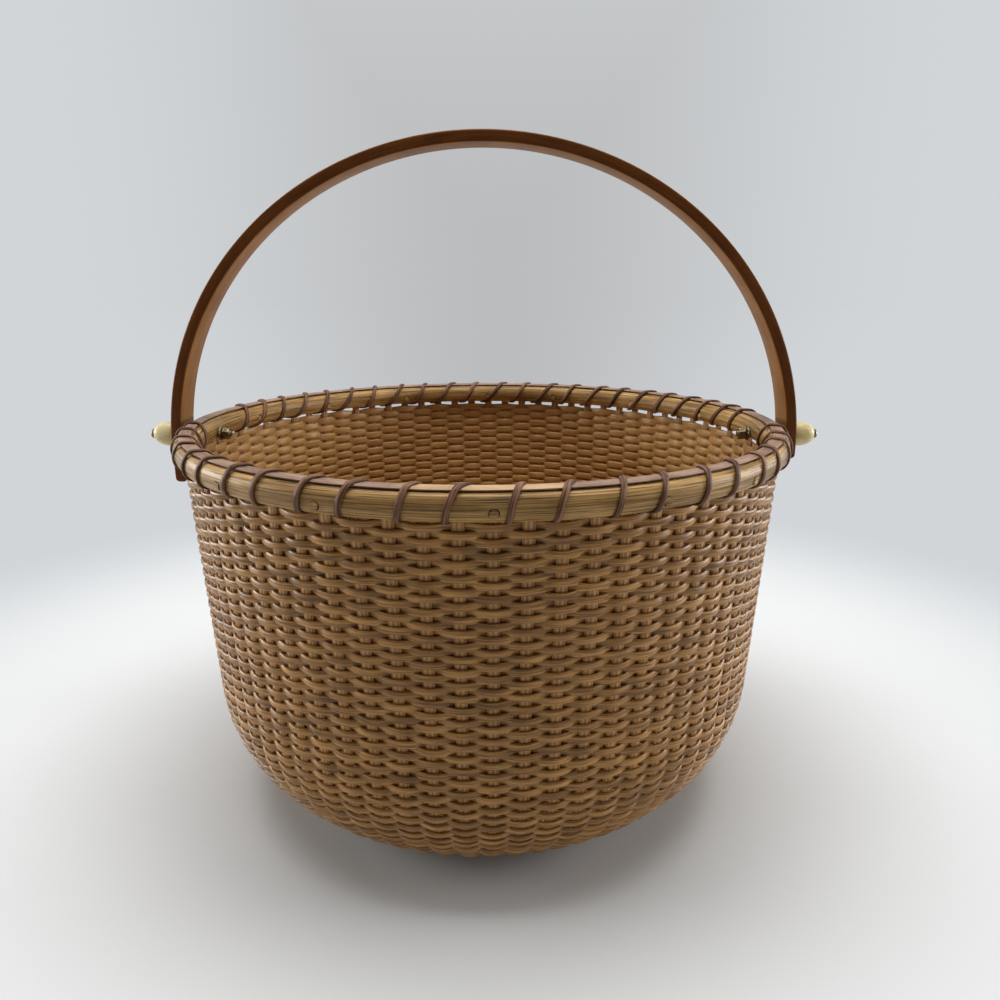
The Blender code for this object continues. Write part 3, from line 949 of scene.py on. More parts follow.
@dataclass(frozen=True)
class Wall:
    """The basket's wall: its outer face, and its staves' places."""

    base_radius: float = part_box("base_disc")[1].x
    weave_top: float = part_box("weave_outside")[1].z
    top_radius: float = 0.1230
    hoop_top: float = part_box("outer_rim_hoop")[1].z
    hoop_bottom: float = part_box("outer_rim_hoop")[0].z
    clearance: float = 0.0003
    lift: float = 0.0008
    foot: float = 0.0040
    root_depth: float = 0.0062
    shoulder_radius: float = 0.1183
    shoulder_height: float = 0.0578
    weaver_thickness: float = 0.0008
    stave_thickness: float = 0.0011
    curve_steps: int = 48
    front_pitches: int = 37
    back_pitches: int = 38

    @property
    def staves(self) -> int:
        """How many staves there are."""
        return self.front_pitches + self.back_pitches

    @property
    def stave_depth(self) -> float:
        """How far a stave's middle lies inside the wall's outer face."""
        return self.weaver_thickness + self.clearance + self.stave_thickness / 2

    @property
    def root_radius(self) -> float:
        """Where a stave's root ends inside the base."""
        return self.base_radius - self.root_depth

    def outer_face(self) -> Outline:
        """The outer face.

        Returns:
            Its points, from the staves' roots to the top of the hoops.
        """
        foot = self.base_radius + self.clearance + self.foot
        reach, rise = self.shoulder_radius - foot, self.shoulder_height - self.lift
        points = [(self.root_radius, self.lift)]
        for step in range(self.curve_steps + 1):
            turn = QUARTER_TURN * (1 - step / self.curve_steps)
            height = self.shoulder_height - rise * math.sin(turn)
            points.append((foot + reach * math.cos(turn), height))
        return points + [(self.radius_at(self.hoop_top), self.hoop_top)]

    def radius_at(self, height: float, depth: float = 0.0) -> float:
        """The wall's radius above its shoulder.

        Args:
            height: The height.
            depth: The depth inside its outer face.

        Returns:
            The radius.
        """
        slope = (self.top_radius - self.shoulder_radius) / (self.weave_top - self.shoulder_height)
        outer = self.top_radius + slope * (height - self.weave_top)
        return outer - depth * math.hypot(1, slope)

    def angle_of(self, number: Value) -> Value:
        """The angle of a stave, or of a place between two, counted from the left pivot forwards."""
        front, back = number.least(self.front_pitches), (number - self.front_pitches).most(0.0)
        return (front / self.front_pitches + back / self.back_pitches) * HALF_TURN - QUARTER_TURN


WALL = Wall()


def swung(angle: Value, out: Number, aside: Number, up: Number) -> Value:
    """The vector, at an angle from the front, with parts away from the axis, round and along it."""
    sine, cosine = angle.sin(), angle.cos()
    return angle.tree.vector(sine * out + cosine * aside, sine * aside - cosine * out, up)


def beside(spot: Value, lean: Value, out: Value, onward: Number = 0.0) -> tuple[Value, Value]:
    """The radius and height of a point that lies out from a spot on a guide, and on along it."""
    radius = spot.part("X") + lean.part("Z") * out + lean.part("X") * onward
    return radius, spot.part("Z") - lean.part("X") * out + lean.part("Z") * onward


def flat_oval(corner: Value, sides: int, width: Value, thickness: Value) -> tuple[Value, Value]:
    """The section of a flat cane with a rounder outer face.

    Args:
        corner: The number of the section's corner.
        sides: How many corners the section has.
        width: Its width.
        thickness: Its thickness.

    Returns:
        How far the corner lies across and out.
    """
    fullness, crown = 0.35, 0.05
    turn = corner * (-FULL_TURN / sides)
    across, out = turn.cos(), turn.sin()
    across = across * (1 + fullness - across * across * fullness)
    out = out * (1 + fullness - out * out * fullness) + crown - across * across * crown
    return across * (width / 2), out * (thickness / 2)


# Sub-assemblies


@dataclass(frozen=True)
class Weave:
    """The one weaver strand, wound up the wall in a spiral."""

    finish: CaneFinish
    row_pitch: float = 0.00227
    width: float = 0.00245
    thickness: float = 0.00115
    swing: float = 0.00106
    fullness: float = 0.15
    start: float = 0.00852
    last_stave: float = 36.0
    room_above: float = 0.0004
    sides: int = 10
    steps: int = 8
    bands: int = 6
    unevenness: float = 0.00034
    spread: float = 0.28

    def tree(self) -> ShapeTree:
        """Makes the tree of a stretch of the strand.

        Returns:
            The tree.
        """
        tree = ShapeTree("weaver")
        wall = tree.input("wall", "Object")
        first, spaces, steps, pitch = tree.numbers("first_space", "spaces", "steps", "row_pitch")
        width, thickness, swing = tree.numbers("width", "thickness", "swing")
        start, unevenness, spread = tree.numbers("start", "unevenness", "spread")
        grid, ring, corner, closed = tree.tube((spaces * steps + 1).floor(), self.sides)
        number = first + ring / steps
        within = number - (number / WALL.staves).floor() * WALL.staves
        parity = number % 2 * HALF_TURN
        side = parity.cos()
        square = side * side
        wave = side * (1 + self.fullness - square * self.fullness)
        lift = tree.drift(number, 1.1, 31.0) * unevenness
        length = start + number * (pitch / WALL.staves) + lift
        spot, lean = tree.on_curve(wall, Reading.LENGTH, length)
        space = spot.part("X") * (FULL_TURN / WALL.staves)
        steepness = 1 + self.fullness - square * (3 * self.fullness)
        steep = steepness * parity.sin() * swing * HALF_TURN / space
        hug = 1 / (steep * steep + 1).root()
        uneven = tree.drift(number, 0.7, 77.0) * 0.3 + 1 + (1 - side) * spread
        size = (width * (closed * uneven), thickness * closed)
        across, out = flat_oval(corner, self.sides, *size)
        twist = tree.drift(number, 0.8, 5.0) * 0.5
        across, out = across - out * twist, out + across * twist
        depth = wave * swing - WALL.stave_depth + tree.drift(number, 0.9, 55.0) * unevenness
        radius, height = beside(spot, lean, depth + out * hug, across)
        point = swung(WALL.angle_of(within), radius, steep * hug * out, height)
        tree.finish(tree.moved(grid, point), number, corner / self.sides)
        return tree

    def build(self) -> None:
        """Grows the strand in bands, and places them."""
        guide = guide_curve("wall_guide", WALL.outer_face())
        room = WALL.hoop_top - WALL.hoop_bottom + self.room_above + self.width / 2
        rise = path_length(WALL.outer_face()) - room - self.start
        turns = round(rise / self.row_pitch - self.last_stave / WALL.staves)
        spaces = turns * WALL.staves + self.last_stave
        tree, material = self.tree(), self.finish.build()
        for band in range(self.bands):
            first, last = (round(spaces * edge / self.bands) for edge in (band, band + 1))
            values = {"wall": guide, "first_space": first, "spaces": last - first}
            piece = tree.grow(f"weaver_{band + 1}", self, **values, material=material)
            nodes = () if band else ("weave_outside", "weave_inside")
            place_piece(piece, Slot.WEAVER, *nodes)
        discard(guide)


@dataclass(frozen=True)
class Staves:
    """The staves, split rattan that narrows towards the base."""

    finish: RibbedFinish
    top_width: float = 0.0041
    root_width: float = 0.0028
    sides: int = 8
    rings: int = 56
    map_length: float = 20.0
    map_step: float = 40.0

    def tree(self) -> ShapeTree:
        """Makes the tree of all the staves.

        Returns:
            The tree.
        """
        tree = ShapeTree("staves")
        wall = tree.input("wall", "Object")
        rings, length, thickness = tree.numbers("rings", "length", "thickness")
        top_width, root_width = tree.numbers("top_width", "root_width")
        grid, ring, corner, closed = tree.tube(rings, self.sides)
        spot, lean = tree.on_curve(wall, Reading.LENGTH, ring / (rings - 1) * length)
        grown = spot.part("X").eased(WALL.root_radius, WALL.shoulder_radius)
        width = (root_width + (top_width - root_width) * grown) * closed
        across, out = flat_oval(corner, self.sides, width, thickness * closed)
        radius, height = beside(spot, lean, out - WALL.stave_depth)
        stave = tree.moved(grid, tree.vector(across, radius * -1.0, height))
        turn = tree.vector(0.0, 0.0, WALL.angle_of(tree.index()))
        whole = tree.copies(stave, turn, Count=WALL.staves)
        index, columns = tree.index(), self.sides + 1
        per_stave = columns * (rings + 2)
        order = (index / per_stave).floor()
        row = ((index - order * per_stave) / columns).floor()
        along = row / rings * self.map_length + order * self.map_step
        tree.finish(whole, along, index % columns / self.sides)
        return tree

    def build(self) -> None:
        """Grows the staves and places them."""
        guide = guide_curve("stave_guide", WALL.outer_face())
        sizes = {"length": path_length(WALL.outer_face()), "thickness": WALL.stave_thickness}
        material = self.finish.build()
        piece = self.tree().grow("staves", self, wall=guide, material=material, **sizes)
        nodes = [name for name in frame["nodes"] if name.startswith("stave_group_")]
        place_piece(piece, Slot.STAVE, *nodes)
        discard(guide)


@dataclass(frozen=True)
class Rim:
    """The two hoops, the cap strip, the pegs and the lashing."""

    hoop_finish: GrainFinish
    cap_finish: CapFinish
    lashing_finish: CaneFinish
    pivot_height: float
    outer_thickness: float = 0.0040
    inner_thickness: float = 0.0042
    fullness: float = 0.62
    section_steps: int = 14
    crest: float = 0.0015
    cap_low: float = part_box("rim_cap_strip")[0].z
    cap_high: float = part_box("rim_cap_strip")[1].z
    peg_radius: float = 0.00135
    peg_gap: float = 0.00034
    peg_stand: float = 0.0001
    peg_height: float = (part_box("rim_peg_01")[0].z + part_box("rim_peg_01")[1].z) / 2
    peg_spaces: int = 8
    peg_sides: int = 24
    peg_map_scale: tuple[float, float] = (400.0, 40.0)
    pin_gap: float = 0.0017
    drill_reach: float = 0.003
    ring_steps: int = 300
    ring_unevenness: float = 0.0003
    ring_grain: float = 6.0
    strand_width: float = 0.0021
    strand_thickness: float = 0.0008
    loops: int = 23
    loop_steps: int = 56
    loop_start: float = 0.38
    steady_advance: float = 0.25
    under_share: float = 0.10
    late_shift: float = 0.30
    slack: float = 0.010
    path_step: float = 0.0004
    path_passes: int = 12
    loop_map_length: float = 4.0
    sides: int = 8

    @property
    def outer_radius(self) -> float:
        """The outer hoop's outer radius."""
        middle = (WALL.hoop_top + WALL.hoop_bottom) / 2
        return WALL.radius_at(middle, WALL.weaver_thickness) + self.outer_thickness

    @property
    def inner_radius(self) -> float:
        """The inner hoop's inner radius."""
        middle = (WALL.hoop_top + WALL.hoop_bottom) / 2
        return WALL.radius_at(middle, self.inner_layer) - self.inner_thickness

    @property
    def inner_layer(self) -> float:
        """How far the inner hoop's flat face lies inside the wall's outer face."""
        return WALL.weaver_thickness + 2 * WALL.clearance + WALL.stave_thickness

    @property
    def cap_edges(self) -> tuple[float, float]:
        """The cap strip's inner and outer radius."""
        inner = WALL.radius_at(WALL.hoop_top, self.inner_layer) - self.crest
        return inner, WALL.radius_at(WALL.hoop_top, WALL.weaver_thickness) + self.crest

    def hoop_section(self, layer: float, reach: float) -> Outline:
        """A half-round section, flat against the staves.

        Args:
            layer: How deep in the wall its flat face lies.
            reach: How far it stands out from there, or in where it is negative.

        Returns:
            The section's points, in order round it.
        """
        low, high = WALL.hoop_bottom, WALL.hoop_top
        points = []
        for step in range(self.section_steps + 1):
            turn = HALF_TURN * (step / self.section_steps - 0.5)
            bulge = abs(math.cos(turn)) ** self.fullness
            height = (low + high) / 2 + (high - low) / 2 * math.sin(turn)
            points.append((WALL.radius_at(height, layer) + reach * bulge, height))
        return points

    def ring_tree(self) -> ShapeTree:
        """Makes the tree of a ring swept from a section.

        Returns:
            The tree.
        """
        tree = ShapeTree("ring")
        section = tree.input("section", "Object")
        corners, seed = tree.numbers("corners", "seed")
        steps, unevenness = tree.numbers("ring_steps", "ring_unevenness")
        index = tree.index()
        step = (index / (corners + 1)).floor()
        turned_share = step / steps
        corner_share = (index - step * (corners + 1)) / corners
        angle = turned_share * FULL_TURN - HALF_TURN
        spot, _ = tree.on_curve(section, Reading.SHARE, corner_share)
        circle = tree.vector(angle.cos(), angle.sin(), seed)
        worn = (tree.noise(circle, self.ring_grain) - 0.5) * unevenness
        point = swung(angle, spot.part("X") + worn, 0.0, spot.part("Z") + worn * 0.5)
        ring = tree.moved(tree.grid(steps + 1, corners + 1), point)
        tree.finish(ring, turned_share * WALL.staves, corner_share)
        return tree

    def ring(
        self, tree: ShapeTree, name: str, section: Outline, seed: float, material: Material
    ) -> Object:
        """Grows one ring.

        Args:
            tree: The ring tree.
            name: The ring's name.
            section: Its section.
            seed: The seed of its unevenness.
            material: Its finish.

        Returns:
            The ring.
        """
        guide = guide_curve(f"{name}_section", section, closed=True)
        values = {"section": guide, "corners": len(section), "seed": seed, "material": material}
        ring = tree.grow(name, self, **values)
        discard(guide)
        return ring

    def peg_angles(self, side: int, pitches: int) -> list[float]:
        """The angles of the staves that have a peg, on the front, side 0, or the back, side 1."""
        staves = [math.ceil(n * pitches / self.peg_spaces) for n in range(1, self.peg_spaces)]
        return [HALF_TURN * (side + stave / pitches) - QUARTER_TURN for stave in staves]

    def drill(self, hoop: Object) -> None:
        """Drills the holes of the pegs and of the pivot pins.

        Args:
            hoop: The hoop to drill.
        """
        near, far = self.inner_radius - self.drill_reach, self.outer_radius + self.drill_reach
        peg_hole = self.peg_radius + self.peg_gap
        angles = self.peg_angles(0, WALL.front_pitches) + self.peg_angles(1, WALL.back_pitches)
        holes = [(angle, self.peg_height, peg_hole) for angle in angles]
        holes += [(side * QUARTER_TURN, self.pivot_height, self.pin_gap) for side in (-1, 1)]
        shape = bmesh.new()
        for angle, height, radius in holes:
            bmesh.ops.create_cone(
                shape,
                cap_ends=True,
                segments=self.peg_sides,
                radius1=radius,
                radius2=radius,
                depth=far - near,
                matrix=outward(angle, height) @ Matrix.Translation((0, 0, (near + far) / 2)),
            )
        cut(hoop, made_of("rim_drill", shape))

    def peg_tree(self) -> ShapeTree:
        """Makes the tree of the pegs.

        Returns:
            The tree.
        """
        tree = ShapeTree("pegs")
        near, far, radius = tree.numbers("inner_radius", "peg_end", "peg_radius")
        height, spaces = tree.numbers("peg_height", "peg_spaces")
        size = {"Vertices": self.peg_sides, "Radius": radius, "Depth": far - near}
        rod = tree.node("GeometryNodeMeshCylinder", {**size, "Fill Segments": 3})
        number = tree.index()
        half = (number / (spaces - 1)).floor()
        space = number - half * (spaces - 1) + 1
        pitches = half + WALL.front_pitches
        stave = half * WALL.front_pitches + (space * pitches / spaces - ROUNDING_SLACK).ceil()
        angle = WALL.angle_of(stave)
        middle = swung(angle, (near + far) / 2, 0.0, height)
        turn = tree.vector(0.0, QUARTER_TURN, angle - QUARTER_TURN)
        whole = tree.copies(rod, turn, Count=(spaces - 1) * 2, Position=middle)
        place, (across, up) = tree.node("GeometryNodeInputPosition"), self.peg_map_scale
        tree.finish(whole, place.part("X") * across, place.part("Z") * up)
        return tree

    def lashing_path(self) -> Outline:
        """The lashing's path round the rim's section.

        Returns:
            The path: under the rim, up outside of it and down inside.
        """
        points = self.hoop_section(WALL.weaver_thickness, self.outer_thickness)
        points += self.hoop_section(self.inner_layer, -self.inner_thickness)
        points += [(radius, self.cap_high) for radius in self.cap_edges]
        taut = taut_loop(points, WALL.clearance / 2 + self.strand_thickness / 2)
        return rounded(taut, self.path_step, self.path_passes)

    def lashing_tree(self) -> ShapeTree:
        """Makes the tree of half of the lashing.

        Returns:
            The tree.
        """
        tree = ShapeTree("lashing")
        section = tree.input("section", "Object")
        first, around_rim = tree.numbers("first_stave", "loop_length")
        loops, steps, under = tree.numbers("loops", "loop_steps", "under_share")
        width, thickness = tree.numbers("strand_width", "strand_thickness")
        steady_share, late_shift = tree.numbers("steady_advance", "late_shift")
        grid, ring, corner, closed = tree.tube(loops * steps + 1, self.sides)
        number = ring / steps
        loop = number.floor().least(loops - 1)
        share = number - loop
        # Every third gap between two staves is skipped, and every second loop starts late
        gap = loop + 1 + (loop / 2).floor()
        after = loop + 2 + ((loop + 1) / 2).floor()
        late = loop % 2
        start = WALL.angle_of(first + gap + self.loop_start + late * late_shift)
        end = WALL.angle_of(first + after + self.loop_start + (1 - late) * late_shift)
        over = ((share - under) / (1 - under)).most(0.0)
        steady = FULL_TURN / WALL.staves * steady_share
        rest = end - start - steady
        slack = tree.drift(number, 2.3, 11.0) * self.slack
        angle = start + over * (steady + rest * over) + slack * (over * (1 - over) * 4)
        spot, lean = tree.on_curve(section, Reading.SHARE, share)
        pace = steady + rest * over * 2
        sweep = pace / (1 - under) * share.above(under) * spot.part("X") / around_rim
        stretch = 1 / (sweep * sweep + 1).root()
        uneven = tree.drift(number, 3.1, 3.0) * 0.25 + 1
        size = (width * closed * uneven, thickness * closed)
        across, out = flat_oval(corner, self.sides, *size)
        radius, height = beside(spot, lean, out, across * stretch * sweep)
        point = swung(angle, radius, across * stretch * -1.0, height)
        tree.finish(tree.moved(grid, point), number * self.loop_map_length, corner / self.sides)
        return tree

    def build(self) -> None:
        """Builds every piece of the rim."""
        wood = self.hoop_finish.build()
        ring_tree = self.ring_tree()
        outer = self.hoop_section(WALL.weaver_thickness, self.outer_thickness)
        inner = self.hoop_section(self.inner_layer, -self.inner_thickness)[::-1]
        for side, section, seed in (("outer", outer, 2.0), ("inner", inner, 8.0)):
            hoop = self.ring(ring_tree, f"{side}_hoop", section, seed, wood)
            self.drill(hoop)
            place_piece(hoop, Slot.HOOP, f"{side}_rim_hoop")
        self.build_cap(ring_tree)
        end = self.outer_radius + self.peg_stand
        pegs = self.peg_tree().grow("pegs", self, peg_end=end, material=wood)
        nodes = [name for name in frame["nodes"] if name.startswith("rim_peg_")]
        place_piece(pegs, Slot.HOOP, *nodes)
        self.build_lashing()

    def build_cap(self, ring_tree: ShapeTree) -> None:
        """Builds the cap strip.

        Args:
            ring_tree: The ring tree.
        """
        inner, outer = self.cap_edges
        edge = (self.cap_high - self.cap_low) / 2
        section = arc((outer - edge, self.cap_low + edge), edge, -90, 90, 6)
        section += arc((inner + edge, self.cap_low + edge), edge, 90, 270, 6)
        strip = self.ring(ring_tree, "cap_strip", section, 5.0, self.cap_finish.build())
        place_piece(strip, Slot.LASHING, "rim_cap_strip")

    def build_lashing(self) -> None:
        """Builds the two halves of the lashing."""
        section = self.lashing_path()
        guide, length = guide_curve("lashing_guide", section, True), path_length(section, True)
        tree, material = self.lashing_tree(), self.lashing_finish.build()
        for name, first in (("front_lashing", 0), ("back_lashing", WALL.front_pitches)):
            values = {"section": guide, "first_stave": first, "loop_length": length}
            strand = tree.grow(f"{name}_cane", self, **values, material=material)
            place_piece(strand, Slot.LASHING, name)
        discard(guide)


@dataclass(frozen=True)
class Base:
    """The turned base and its plug."""

    finish: TurnedWoodFinish
    thickness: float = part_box("base_disc")[1].z
    edge: float = 0.0012
    plug_radius: float = 0.0045
    plug_gap: float = 0.0001
    plug_edge: float = 0.0003

    def build(self) -> None:
        """Builds the disc and the plug."""
        material = self.finish.build()
        radius, bore = WALL.base_radius, self.plug_radius + self.plug_gap
        middle = WALL.lift + WALL.stave_depth
        slot = WALL.stave_thickness / 2 + WALL.clearance
        groove = WALL.root_radius - WALL.clearance
        outline = [(bore, self.thickness)]
        outline += arc((radius - self.edge, self.thickness - self.edge), self.edge, 90, 0, 6)
        outline += [(radius, middle + slot), (groove, middle + slot)]
        outline += [(groove, middle - slot), (radius, middle - slot)]
        outline += [(radius - WALL.lift / 2, 0.0), (bore, 0.0)]
        disc = turned("turned_base", outline, material, sides=160)
        place_piece(disc, Slot.BASE, "base_disc")
        plug = [(0.0, self.thickness), (self.plug_radius - self.plug_edge, self.thickness)]
        plug += [(self.plug_radius, self.thickness - self.plug_edge)]
        plug += [(self.plug_radius, 0.0), (0.0, 0.0)]
        place_piece(turned("turned_plug", plug, material), Slot.BASE, "base_plug")


@dataclass(frozen=True)
class Handle:
    """The bent strip of the handle, with its two pivot holes."""

    finish: HandleFinish
    pivot_height: float
    half_span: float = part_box("swing_handle")[1].x
    top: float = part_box("swing_handle")[1].z
    thickness: float = 0.0047
    width: float = 0.0145
    corner: float = 0.0009
    end_round: float = 0.0018
    spring_drop: float = 0.0067
    left_drop: float = 0.0205
    right_drop: float = 0.0100
    bore: float = 0.0017
    steps: int = 150
    leg_steps: int = 12
    map_pace: float = 0.28
    map_shift: float = 2.0

    def centre_line(self) -> list[tuple[Vector, Vector]]:
        """The middle of the strip, seen from the front, and the way that its outer face looks.

        Returns:
            The points, from the left end over the arch to the right end.
        """
        spring = self.pivot_height - self.spring_drop
        span = self.half_span - self.thickness / 2
        rise = self.top - spring - self.thickness / 2
        line = []
        for step in range(self.steps + 1):
            turn = HALF_TURN * (1 - step / self.steps)
            point = Vector((span * math.cos(turn), 0, spring + rise * math.sin(turn)))
            out = Vector((rise * math.cos(turn), 0, span * math.sin(turn))).normalized()
            line.append((point, out))
        legs = []
        for side, drop in ((-1, self.left_drop), (1, self.right_drop)):
            end = self.pivot_height - drop
            shares = [(step / self.leg_steps) ** 2 for step in range(self.leg_steps)]
            heights = [end + (spring - end) * share for share in shares]
            legs.append([(Vector((side * span, 0, z)), Vector((side, 0, 0))) for z in heights])
        return legs[0] + line + legs[1][::-1]

    def section(self) -> Outline:
        """The strip's section.

        Returns:
            How far each corner lies across the strip and out from its middle.
        """
        half, deep = self.width / 2 - self.corner, self.thickness / 2 - self.corner
        points = []
        for turn, (across, out) in enumerate(((1, 1), (-1, 1), (-1, -1), (1, -1))):
            start = 90 * turn
            points += arc((across * half, out * deep), self.corner, start, start + 90, 4)
        return points

    def build(self) -> None:
        """Builds the strip."""
        line, section = self.centre_line(), self.section()
        shape = bmesh.new()
        strand_map = shape.loops.layers.uv.new(STRAND_MAP)
        count = len(section)
        rings = []
        for point, out in line:
            room = min((point - line[0][0]).length, (point - line[-1][0]).length, self.end_round)
            inset = self.end_round - math.sqrt(self.end_round**2 - (self.end_round - room) ** 2)
            narrow, thin = 1 - 2 * inset / self.width, 1 - 2 * inset / self.thickness
            corners = [out * (z * thin) - Vector((0, across * narrow, 0)) for across, z in section]
            rings.append([shape.verts.new(point + corner) for corner in corners])
        for i, (here, there) in enumerate(zip(rings, rings[1:])):
            for j in range(count):
                k = (j + 1) % count
                face = shape.faces.new((here[j], here[k], there[k], there[j]))
                steps = ((i, j), (i, j + 1), (i + 1, j + 1), (i + 1, j))
                for loop, (along, corner) in zip(face.loops, steps):
                    around = (corner - self.map_shift) / count
                    loop[strand_map].uv = (along * self.map_pace, around)
        shape.faces.new(rings[0])
        shape.faces.new(rings[-1][::-1])
        bmesh.ops.recalc_face_normals(shape, faces=shape.faces)
        material = self.finish.build()
        strip = made_of("bent_handle", shape, material)
        reach = 2 * self.half_span
        rod = [(0.0, reach), (self.bore, reach), (self.bore, 0.0), (0.0, 0.0)]
        drill = turned("handle_drill", rod, material, sides=32)
        drill.data.transform(Matrix.Translation((0, 0, -self.half_span)))
        drill.data.transform(outward(QUARTER_TURN, self.pivot_height))
        cut(strip, drill)
        place_piece(strip, Slot.HANDLE, "swing_handle", body=Body.HANDLE)


@dataclass(frozen=True)
class Pivot:
    """The turned pieces on one pivot's pin, and its nut."""

    bone: Material
    metal: Material
    side: str
    angle: float
    height: float
    bore: float = 0.0016
    knob_radius: float = 0.0053
    knob_neck: tuple[tuple[float, float], ...] = (
        (0.88, 0.0), (0.93, 0.0003), (0.97, 0.0010), (0.995, 0.0019), (1.0, 0.0026)
    )
    dome_length: float = 0.0062
    dome_turn: float = math.radians(64)
    dome_fullness: float = 0.8
    dome_steps: int = 8
    spacer_radius: float = 0.0043
    spacer_round: float = 0.0005
    washer_radius: float = 0.0030
    washer_edge: float = 0.0002
    shank_radius: float = 0.0014
    shank_taper: tuple[float, float] = (0.0003, 0.0004)
    head_radius: float = 0.0021
    head_length: float = 0.0016
    head_edge: float = 0.0003
    head_round: float = 0.0012
    nut_radius: float = 0.0026
    nut_edge: float = 0.00025
    nut_sides: int = 6
    sides: int = 48

    def outlines(self) -> list[tuple[str, Outline]]:
        """The pieces' outlines: radius, and place along the pin.

        Returns:
            The pieces' names, each with its outline.
        """
        places = {}
        for part in ("knob", "spacer", "washer", "pin", "nut"):
            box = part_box(f"{self.side}_pivot_{part}")
            places[part] = sorted(abs(corner.x) for corner in box)
        near, far = places["knob"]
        knob = [(self.bore, near)]
        knob += [(self.knob_radius * share, near + rise) for share, rise in self.knob_neck]
        for step in range(1, self.dome_steps + 1):
            turn = self.dome_turn * step / self.dome_steps
            drop = self.dome_length * (1 - math.sin(turn) / math.sin(self.dome_turn))
            knob.append((self.knob_radius * math.cos(turn) ** self.dome_fullness, far - drop))
        knob.append((self.bore, far))
        near, far = places["spacer"]
        edge, radius = self.spacer_round, self.spacer_radius - self.spacer_round
        spacer = [(self.bore, near)] + arc((radius, near + edge), edge, -90, 0, 4)
        spacer += arc((radius, far - edge), edge, 0, 90, 4) + [(self.bore, far)]
        near, far = places["washer"]
        edge, radius = self.washer_edge, self.washer_radius
        washer = [(self.bore, near), (radius - edge, near), (radius, near + edge)]
        washer += [(radius, far), (self.bore, far)]
        near, far = places["pin"]
        shank, radius, edge = self.shank_radius, self.head_radius, self.head_round
        narrow, taper = self.shank_taper
        under = far - self.head_length
        pin = [(0.0, near), (shank - narrow, near), (shank, near + taper), (shank, under)]
        pin += [(radius, under), (radius, under + self.head_edge)]
        pin += arc((radius - edge, far - edge), edge, 10, 90, 6) + [(0.0, far)]
        near, far = places["nut"]
        nut = [(self.bore, near), (self.nut_radius, near), (self.nut_radius, far), (self.bore, far)]
        return list(zip(places, (knob, spacer, washer, pin, nut)))

    def build(self) -> None:
        """Turns and places the pieces, the nut with six sides and worn edges."""
        for part, outline in self.outlines():
            bony, hexagonal = part in ("knob", "spacer"), part == "nut"
            name = f"{self.side}_hex_nut" if hexagonal else f"{self.side}_{part}_turned"
            material = self.bone if bony else self.metal
            piece = turned(name, outline, material, self.nut_sides if hexagonal else self.sides)
            if hexagonal:
                edge = piece.modifiers.new("Edges", "BEVEL")
                edge.width, edge.segments, edge.limit_method = self.nut_edge, 2, "ANGLE"
                settled(piece)
            piece.data.transform(outward(self.angle, self.height))
            place_piece(piece, Slot.KNOB if bony else Slot.METAL, f"{self.side}_pivot_{part}")


@dataclass(frozen=True)
class Lamp:
    """A soft lamp that looks at the basket."""

    name: str
    place: tuple[float, float, float]
    size: tuple[float, float]
    watts: float

    def build(self) -> None:
        """Adds the lamp."""
        light = bpy.data.lights.new(self.name, "AREA")
        light.shape = "RECTANGLE"
        light.size, light.size_y = self.size
        light.energy = self.watts
        lamp = new_object(self.name, light)
        lamp.location = self.place
        aim = Vector((0, 0, WALL.hoop_top / 2)) - Vector(self.place)
        lamp.rotation_euler = aim.to_track_quat("-Z", "Y").to_euler()


